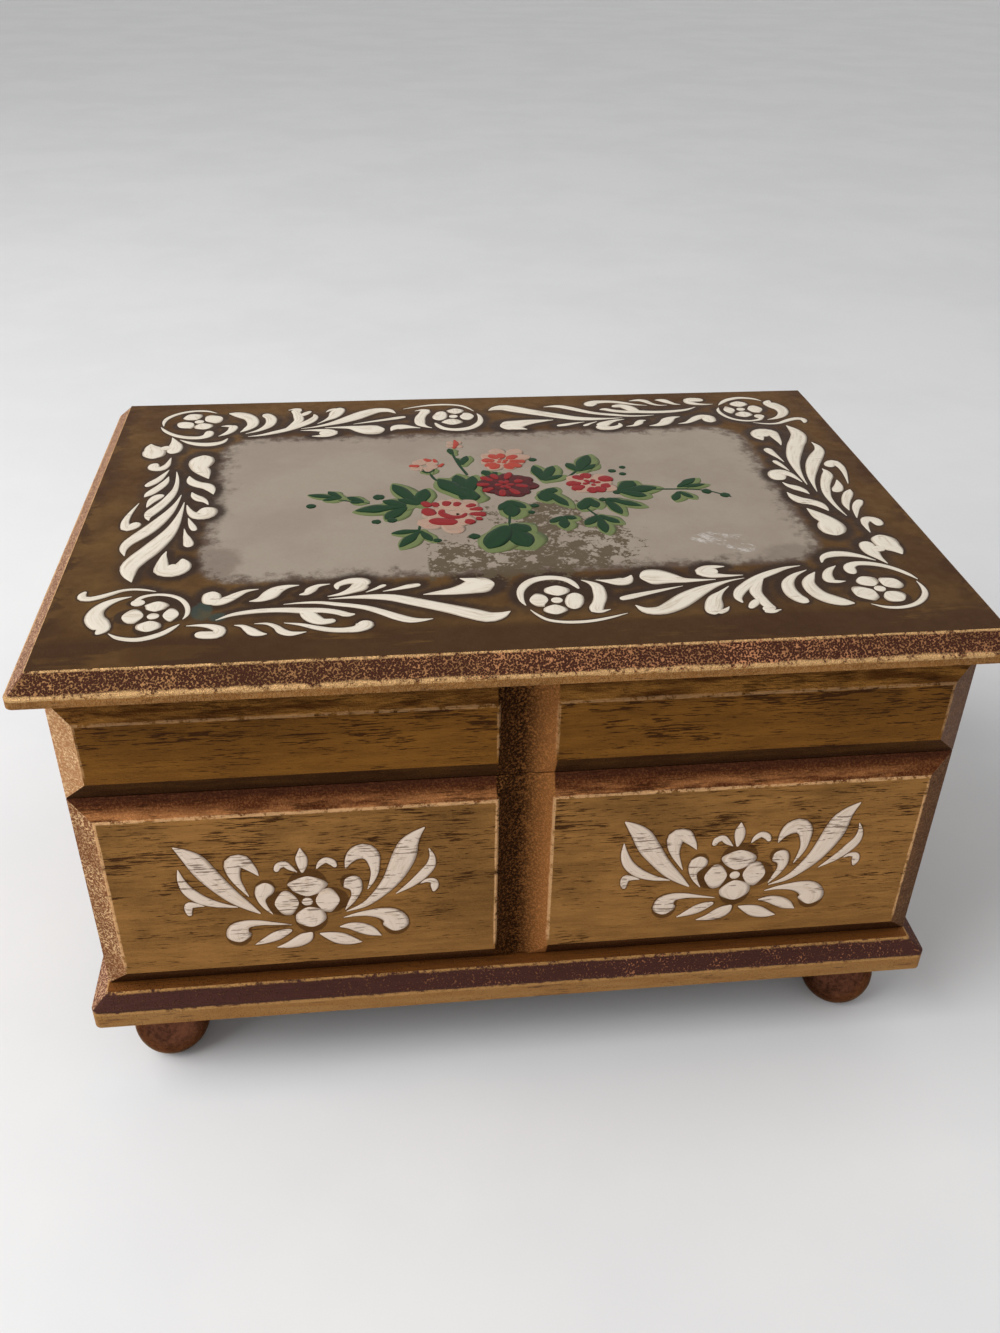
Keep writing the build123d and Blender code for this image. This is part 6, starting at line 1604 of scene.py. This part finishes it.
@dataclass
class Lid:
    """The moulded lid board with its painted top, and the cloth, mirror and frame under it.

    Lengths are in millimetres. A mark is an oval: its centre's x and y, and its half sizes.
    """

    top: float = 146.0
    half_size: Pair = (115.2, 80.7)
    pitch: float = 0.8
    skin: float = 0.05
    turn_centre: Pair = (0.0, 2.7)
    west_step: Pair = (3.5, 2.0)
    field_centre: Pair = (1.0, 3.0)
    field_half: Pair = (83.5, 47.5)
    field_corner: float = 13.0
    cloth_lines: tuple[int, int] = (181, 107)
    cloth_edge: float = 0.15
    cloth_sunk: float = 0.02

    FLAKES: ClassVar[tuple] = ((-8, -36, 24, 16), (12, -36, 30, 15), (20, -24, 20, 12), (10, -12, 20, 14))
    SCUFFS: ClassVar[tuple] = ((57, -29, 11, 6), (62, -35, 6, 4))
    SMEARS: ClassVar[tuple] = ((-78.5, -57.5, 3.6, 6), (-74.5, -60.5, 3, 3))
    SMUDGES: ClassVar[tuple] = (
        (-84, 2, 9, 34), (-80, -34, 14, 16), (80, -42, 22, 12), (-50, 52, 30, 8), (88, 8, 8, 30))

    @staticmethod
    def _spots(x: np.ndarray, y: np.ndarray, ovals: Sequence) -> np.ndarray:
        """1 in the middle of any oval, falling to 0 at its rim."""
        share = [1 - np.hypot((x - cx) / rx, (y - cy) / ry) for cx, cy, rx, ry in ovals]
        return np.clip(2 * np.max(share, 0), 0, 1)

    def scrolls(self) -> Brushwork:
        """The cream border: one half of it, and the same after half a turn, with the west sprig set a little in.

        Returns:
            The strokes on the lid's top.
        """
        half = (full_rose(SOUTH_WEST_ROSE) + full_rose(SOUTH_ROSE) + full_rose(SOUTH_EAST_ROSE)
                + strokes_of(SOUTH_SPRIG_WEST, SOUTH_SPRIG_EAST))
        east = strokes_of(EAST_SPRIG)
        far = [stroke.turned(self.turn_centre) for stroke in half]
        west = [stroke.turned(self.turn_centre).moved(self.west_step) for stroke in east]
        return Brushwork(Ground(self.top), half + east + far + west, seed=11)

    def painted_top(self, scrolls: Brushwork) -> None:
        """The skin of paint: a thin sheet over the flat of the lid that knows how far each scroll is.

        The distance outside the field is that to a rectangle with rounded corners: the length of the part
        beyond its straight sides, less the corner's radius.

        Args:
            scrolls: the border's strokes.
        """
        xs, ys = (spaced(-half, half, self.pitch) for half in self.half_size)
        sheet = slab(xs, ys, np.full((len(xs), len(ys)), self.skin), -self.skin, Ground(self.top))
        x, y = sheet.points[:, 0] / MM, sheet.points[:, 1] / MM
        beyond = np.abs(np.stack([x, y], 1) - self.field_centre) - self.field_half + self.field_corner
        outside = np.hypot(*np.maximum(beyond, 0).T) + np.minimum(beyond.max(1), 0) - self.field_corner
        sheet.facts["paint"] = np.stack([scrolls.nearest(x, y), outside, self._spots(x, y, self.SMUDGES)], 1)
        marks = (self.FLAKES, self.SCUFFS, self.SMEARS)
        sheet.facts["marks"] = np.stack([self._spots(x, y, ovals) for ovals in marks], 1)
        sheet.piece("lid_painted_top", LidPainting("lid painting"), "lid", Slot.PAINTED, smooth=False)

    def spray(self) -> None:
        """The flower spray: pale grounds first, then leaves, stems and the coloured petals."""
        leaves = [lobe for row in LEAVES for lobe in lobed_leaf(row)]
        grounds = [leaf.grown(1.5, 1.22).moved((0.8, -0.6)) for leaf in leaves]
        cores = [leaf.grown(0.86, 0.97) for leaf in leaves] + strokes_of(BERRIES, STEMS)
        dabs = [dab.grown(1.5, 1.15) for dab in strokes_of(FIRST_FLOWER)]
        sage = BrushPaint("sage leaf paint", tint(104, 114, 70), tint(88, 100, 60), tint(82, 80, 56), 0.15, 0.35)
        green = BrushPaint("green leaf paint", tint(9, 42, 16), tint(18, 56, 22), tint(12, 28, 14), 0.1, 0.45)
        blush = BrushPaint("blush petal paint", tint(168, 140, 122), tint(162, 118, 98), tint(148, 130, 114),
                           0.25, 0.85)
        maroon = BrushPaint("maroon petal paint", tint(62, 15, 17), tint(92, 26, 26), tint(34, 14, 12), 0.1, 0.8)
        crimson = BrushPaint("red petal paint", tint(134, 30, 32), tint(108, 24, 26), tint(98, 38, 34), 0.15, 0.45)
        orange = BrushPaint("coral petal paint", tint(162, 60, 46), tint(142, 48, 38), tint(128, 76, 60), 0.15, 0.45)
        layers = (
            ("leaf_grounds", sage, grounds, 0.06, 0.03, 0.09, 16, 21),
            ("leaves", green, cores, 0.12, 0.05, 0.08, 16, 22),
            ("petal_grounds", blush, rosettes(PALE_FLOWERS), 0.17, 0.04, 0.08, 14, 23),
            ("dark_petals", maroon, rosettes(DARK_FLOWER), 0.17, 0.04, 0.08, 14, 26),
            ("red_petals", crimson, dabs + rosettes(RED_FLOWERS), 0.24, 0.05, 0.08, 14, 24),
            ("coral_petals", orange, rosettes(CORAL_FLOWER) + strokes_of(SMALL_FLOWERS), 0.24, 0.05, 0.08, 14, 25),
        )
        for name, paint, strokes, *handling in layers:
            work = Brushwork(Ground(self.top), strokes, *handling)
            work.surface().piece(f"spray_{name}", paint, "lid", Slot.PAINTED)

    def underside(self, nodes: dict) -> None:
        """The cloth stretched under the lid, the glass and its gilded frame.

        The cloth's depth is its thickness times 1 - exp(-distance from the rim), and dimples of a cosine wave
        that runs round the rim fade away from it.

        Args:
            nodes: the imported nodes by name.
        """
        low, high = corners_mm("lid_lining")
        xs, ys = (np.linspace(low[axis], high[axis], lines) for axis, lines in enumerate(self.cloth_lines))
        x, y = np.meshgrid(xs, ys, indexing="ij")
        aside, ahead = from_rim(x, y, low, high)
        rim, around = np.minimum(aside, ahead), np.where(aside < ahead, y, x)
        dimples = 0.93 + 0.07 * np.cos(around * 2.1) * np.exp(-rim / 4)
        depth = (high[2] - low[2]) * (1 - np.exp(-rim / 0.9)) * dimples
        sheet = slab(xs, ys, -np.maximum(depth, self.cloth_edge), -self.cloth_sunk, Ground(high[2]))
        cloth = sheet.piece("lid_velvet", VELVET, "lid", Slot.VELVET)
        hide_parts("lid_lining")
        OldMirror("old mirror", *box_mm("mirror")).dress(nodes["mirror"])
        frame = PlainGilding("mirror frame gilding", *box_mm("mirror_frame"), worn=tint(222, 182, 118))
        frame.dress(nodes["mirror_frame"])

    def build(self, nodes: dict) -> None:
        """Makes and dresses everything on the lid.

        Args:
            nodes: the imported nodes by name.
        """
        MouldedEdge("lid moulding").dress(nodes["lid_board"])
        scrolls = self.scrolls()
        self.painted_top(scrolls)
        scrolls.surface().piece("lid_scrolls", CREAM, "lid", Slot.PAINTED)
        self.spray()
        self.underside(nodes)


@dataclass
class Drawer:
    """The drawer: panelled front with its two painted motifs, bare sides, cloth on the bottom."""

    face: float = -75.0
    panel_step: Pair = (-118.0, 0.3)
    pitch: float = 0.55
    margin: float = 5.0
    skin: float = 0.04
    sunk: float = 0.05

    WOOD: ClassVar[dict[str, int]] = {
        "drawer_left_side": 1, "drawer_right_side": 1, "drawer_back": 0, "drawer_divider": 1}

    def front(self, nodes: dict) -> None:
        """The gilded front, and on each panel the motif over a patch of paint that knows how far it is.

        Args:
            nodes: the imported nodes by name.
        """
        GildedPanels("drawer gilding").dress(nodes["drawer_front"])
        patch_gilding = GildedPanels("drawer gilding under motif", halo=True)
        right = full_rose(PANEL_MOTIF, 1.12, 1.08)
        left = [stroke.moved(self.panel_step) for stroke in right]
        cream = BrushPaint("cream motif paint", tint(228, 208, 190), tint(200, 176, 150), tint(92, 66, 46), 0.4, 0.45)
        for side, strokes, seed in (("left", left, 31), ("right", right, 32)):
            work = Brushwork(Ground(self.face, upright=True), strokes, seed=seed)
            work.surface().piece(f"drawer_motif_{side}", cream, "drawer", Slot.GILT)
            path = np.concatenate([stroke.path for stroke in strokes])
            ends = zip(path.min(0) - self.margin, path.max(0) + self.margin)
            xs, zs = (spaced(low, high, self.pitch) for low, high in ends)
            sheet = slab(xs, zs, np.full((len(xs), len(zs)), self.skin), -self.sunk, work.ground)
            near = work.nearest(sheet.points[:, 0] / MM, sheet.points[:, 2] / MM)
            sheet.facts["paint"] = np.stack([near, near, near], 1)
            sheet.piece(f"drawer_motif_glaze_{side}", patch_gilding, "drawer", Slot.GILT, smooth=False)

    def inside(self, nodes: dict) -> None:
        """Cloth laid on the drawer's bottom, and the bare boards.

        Args:
            nodes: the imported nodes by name.
        """
        cloth = laid_cloth("drawer_velvet", "drawer_lining", "drawer", None, 41)
        dress_wood(nodes, self.WOOD)
        BareWood("drawer bottom ply", *box_mm("drawer_bottom"), layered=True).dress(nodes["drawer_bottom"])

    def build(self, nodes: dict) -> None:
        """Makes and dresses everything on the drawer."""
        self.front(nodes)
        self.inside(nodes)


@dataclass
class Case:
    """The case: base, feet, sides, upper front board, and the tray with its ring rolls.

    The ring rolls' fields are how many rings a roll has and points each ring, how far above its shoulder its
    ends are gathered, in millimetres, and the powers that draw its ends in and square its lower half off.
    """

    rings: int = 140
    around: int = 72
    gathered: float = 1.0
    ends_power: float = 16
    drawn_power: float = 0.2
    square_power: float = 1 / 3

    GILDED: ClassVar[dict[str, int]] = {
        "left_side_panel": 1, "right_side_panel": 1, "back_panel": 0, "front_top_rail": 0}
    WOOD: ClassVar[dict[str, int]] = {"tray_rail": 0, "tray_dividers": 1, "drawer_runners": 1, "rod_guide": 2}
    FEET: ClassVar[tuple[str, ...]] = ("foot_front_left", "foot_front_right", "foot_rear_left", "foot_rear_right")

    def shell(self, nodes: dict) -> None:
        """Gilds the boards and bronzes the feet.

        Args:
            nodes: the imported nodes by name.
        """
        base = MouldedEdge(
            "base moulding", ridge=32.4, shoulder=35.3, bevel=tint(70, 42, 38), net=tint(112, 76, 54),
            edge=tint(160, 118, 70), top=tint(132, 80, 32), gold=0.0, arris=tint(184, 138, 84), spill=1.3)
        base.dress(nodes["base_board"])
        # Painted shade: this face is painted darker than the drawer's, partly for the shadow under the lid's overhang;
        # its bevels carry painted light like the drawer's.
        upper = GildedPanels(
            "upper board gilding", centre=(58.45, 117.3), half=(50.95, 8.9), cover=(0.36, 0.62), line=0.4,
            face=tint(122, 80, 32), streaky=True, top_bevel=(tint(160, 110, 52), tint(96, 58, 24)),
            painted_lit_left_bevel=(tint(186, 134, 92), tint(250, 214, 166)), painted_shade_low_bevel=(tint(46, 26, 14), tint(76, 48, 24)),
            painted_shade_right_bevel=(tint(104, 80, 72), tint(136, 114, 100)))
        upper.dress(nodes["upper_front_board"])
        for name, way in self.GILDED.items():
            PlainGilding(f"{name} gilding", *box_mm(name), lengthways=way).dress(nodes[name])
        BronzedTurning("bronzed feet").dress(*(nodes[name] for name in self.FEET))

    def tray(self, nodes: dict) -> None:
        """Cloth on the tray floor round the rod's guide, the bare dividers and four stuffed ring rolls.

        Args:
            nodes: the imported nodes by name.
        """
        cloth = laid_cloth("tray_velvet", "tray_lining", "case", corners_mm("rod_guide"), 42)
        dress_wood(nodes, self.WOOD)
        for name in ("tray_floor", "well_partition"):
            BareWood(f"{name} ply", *box_mm(name), layered=True).dress(nodes[name])
        for number in range(1, 5):
            self.ring_roll(number)

    def ring_roll(self, number: int) -> None:
        """One stuffed roll: a rounded section carried along x, drawn in and gathered at both ends.

        The section at angle a is (cos a, sin a) above the shoulder, and squared off by a power of a third below.
        Its size along the roll is (1 - |u| to the 16th) to the power of 1/5, u running from -1 to 1. Folds of
        nine and fourteen waves round the section fade away from the ends.

        Args:
            number: which roll, from 1.
        """
        low, high = corners_mm(f"ring_roll_{number}")
        dice = np.random.default_rng(50 + number)
        reach, radius, _ = (high - low) / 2
        centre, middle, _ = (high + low) / 2
        shoulder = high[2] - radius
        u = signed_power(0.999 * np.sin(np.linspace(-np.pi / 2, np.pi / 2, self.rings)), 0.8)[:, None]
        a = np.linspace(0, 2 * np.pi, self.around, endpoint=False)
        folds = np.cos(9 * a + dice.uniform(0, 6)) * 0.03 + np.cos(14 * a + dice.uniform(0, 6)) * 0.016
        ripple = 0.012 * (1 + np.sin(u * 21 + dice.uniform(0, 6))) / 2
        swell = 0.985 - np.abs(folds) * np.exp(-(1 - np.abs(u)) * reach / 5) - ripple
        size = (1 - np.abs(u) ** self.ends_power) ** self.drawn_power * swell
        below = np.sin(a) < 0
        across = np.where(below, signed_power(np.cos(a), self.square_power), np.cos(a)) * radius
        depth = signed_power(np.sin(a), self.square_power) * (shoulder - low[2])
        up = np.where(below, depth, np.sin(a) * radius) - self.gathered
        x, level = centre + u * reach + 0 * a, shoulder + self.gathered
        points = np.stack([x, middle + across * size, level + up * size], -1).reshape(-1, 3)
        ends = [[x[0, 0], middle, level], [x[-1, 0], middle, level]]
        quads, caps = tube_faces(self.rings, self.around)
        shape = Surface(np.concatenate([points, ends]) * MM, quads.tolist() + caps.tolist())
        roll = shape.piece(f"ring_roll_velvet_{number}", VELVET, "case", Slot.VELVET)
        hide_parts(f"ring_roll_{number}")

    def build(self, nodes: dict) -> None:
        """Makes and dresses everything on the case."""
        self.shell(nodes)
        self.tray(nodes)


@dataclass
class Movement:
    """The hinges, the stop work and the comb movement: brass and steel as packed."""

    BRASS_NODES: ClassVar[tuple[str, ...]] = (
        "hinge_case_leaf_left", "hinge_case_leaf_right", "hinge_case_screws", "hinge_lid_leaf_left",
        "hinge_lid_leaf_right", "hinge_lid_screws", "movement_bedplate", "governor_frame", "rod_bracket",
        "rod_bracket_screws", "winding_key", "spring_barrel", "barrel_cap", "music_cylinder", "fly", "stop_rod")
    STEEL_NODES: ClassVar[tuple[str, ...]] = (
        "hinge_pins", "movement_screws", "barrel_bridge", "comb", "comb_screws", "rod_spring", "winding_arbor",
        "mainspring", "cylinder_arbor", "train_arbor", "governor_worm")

    def build(self, nodes: dict) -> None:
        """Dresses the metal nodes.

        Args:
            nodes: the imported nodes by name.
        """
        brass = WorkedMetal("worked brass")
        steel = WorkedMetal("worked steel", clean=tint(196, 197, 200), tarnish=tint(120, 118, 116), share=0.4,
                            rough=0.3, brushed=(6.0, 0.3, 6.0))
        for metal, names in ((brass, self.BRASS_NODES), (steel, self.STEEL_NODES)):
            metal.dress(*(nodes[name] for name in names))


@dataclass
class Studio:
    """The pale floor, the soft light from the upper left, and the camera at the photograph's angle, in metres."""

    place: Corner = (-0.0355, -0.3121, 0.2948)
    right: Corner = (0.9942, -0.1068, 0.0158)
    down: Corner = (-0.0456, -0.5479, -0.8353)
    ahead: Corner = (0.0979, 0.8297, -0.5496)
    lens: float = 32.2
    sensor: float = 36.0
    clips: Pair = (0.01, 50.0)
    sky: float = 0.5
    lamp_watts: float = 21.0
    lamp_side: float = 1.1
    lamp_place: Corner = (-1.05, -0.35, 1.05)
    lamp_aim: Corner = (0, 0, 0.07)
    floor_half: float = 6.0
    floor_lines: int = 121
    floor_rise_mm: float = 0.1
    floor_waves_mm: Pair = (900, 700)

    def floor(self) -> None:
        """A broad floor whose height is the product of a sine along x and a cosine along y, a tenth of a mm deep."""
        side = np.linspace(-self.floor_half, self.floor_half, self.floor_lines) / MM
        x, y = np.meshgrid(side, side, indexing="ij")
        waves = np.sin(x / self.floor_waves_mm[0]) * np.cos(y / self.floor_waves_mm[1])
        points = Ground(0.0).place(x.ravel(), y.ravel(), self.floor_rise_mm * (waves.ravel() - 1))
        cells = grid_cells(np.arange(x.size).reshape(x.shape)).reshape(-1, 4)
        mesh = bpy.data.meshes.new("floor")
        mesh.from_pydata(points.tolist(), [], cells.tolist())
        floor = placed("floor", mesh)
        mesh.materials.append(PaleFloor("pale floor").material())

    def light(self) -> None:
        """An even sky, shown white to the camera and to reflections, and one broad lamp."""
        world = bpy.data.worlds.new("even sky")
        world.use_nodes = True
        bpy.context.scene.world = world
        g = Graph(world.node_tree)
        backdrop = world.node_tree.nodes["Background"]
        rays = g.node("ShaderNodeLightPath").outputs
        seen = g.most(g.most(rays["Is Camera Ray"], rays["Is Glossy Ray"]), rays["Is Transmission Ray"])
        backdrop.inputs["Color"].default_value = (1.0, 1.0, 1.0, 1.0)
        g.feed(backdrop.inputs["Strength"], g.scaled(seen, 1.0 - self.sky, self.sky))
        lamp = bpy.data.lights.new("broad lamp", "AREA")
        lamp.shape, lamp.size, lamp.energy = "SQUARE", self.lamp_side, self.lamp_watts
        made = placed("broad lamp", lamp)
        made.location = self.lamp_place
        made.rotation_mode = "QUATERNION"
        made.rotation_quaternion = (Vector(self.lamp_aim) - Vector(self.lamp_place)).to_track_quat("-Z", "Y")

    def camera(self) -> None:
        """The camera: x to the right, y up, looking along -z."""
        data = bpy.data.cameras.new("camera")
        data.lens, data.sensor_width = self.lens, self.sensor
        data.clip_start, data.clip_end = self.clips
        made = placed("camera", data)
        axes = np.stack([self.right, -np.array(self.down), -np.array(self.ahead)], 1)
        turn = Matrix(axes.tolist()).to_quaternion().to_matrix().to_4x4()
        made.matrix_world = Matrix.Translation(self.place) @ turn
        bpy.context.scene.camera = made

    def build(self) -> None:
        """Sets the stage."""
        self.floor()
        self.light()
        self.camera()
        bpy.context.scene.view_settings.view_transform = "Standard"


def main() -> None:
    """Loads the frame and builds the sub-assemblies in order."""
    logging.basicConfig(level=logging.INFO, format="%(message)s")
    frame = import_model()
    nodes = frame["nodes"]
    for part in (Case(), Drawer(), Lid(), Movement()):
        log.info("building the %s", type(part).__name__.lower())
        part.build(nodes)
    Studio().build()


if __name__ == "__main__":
    main()
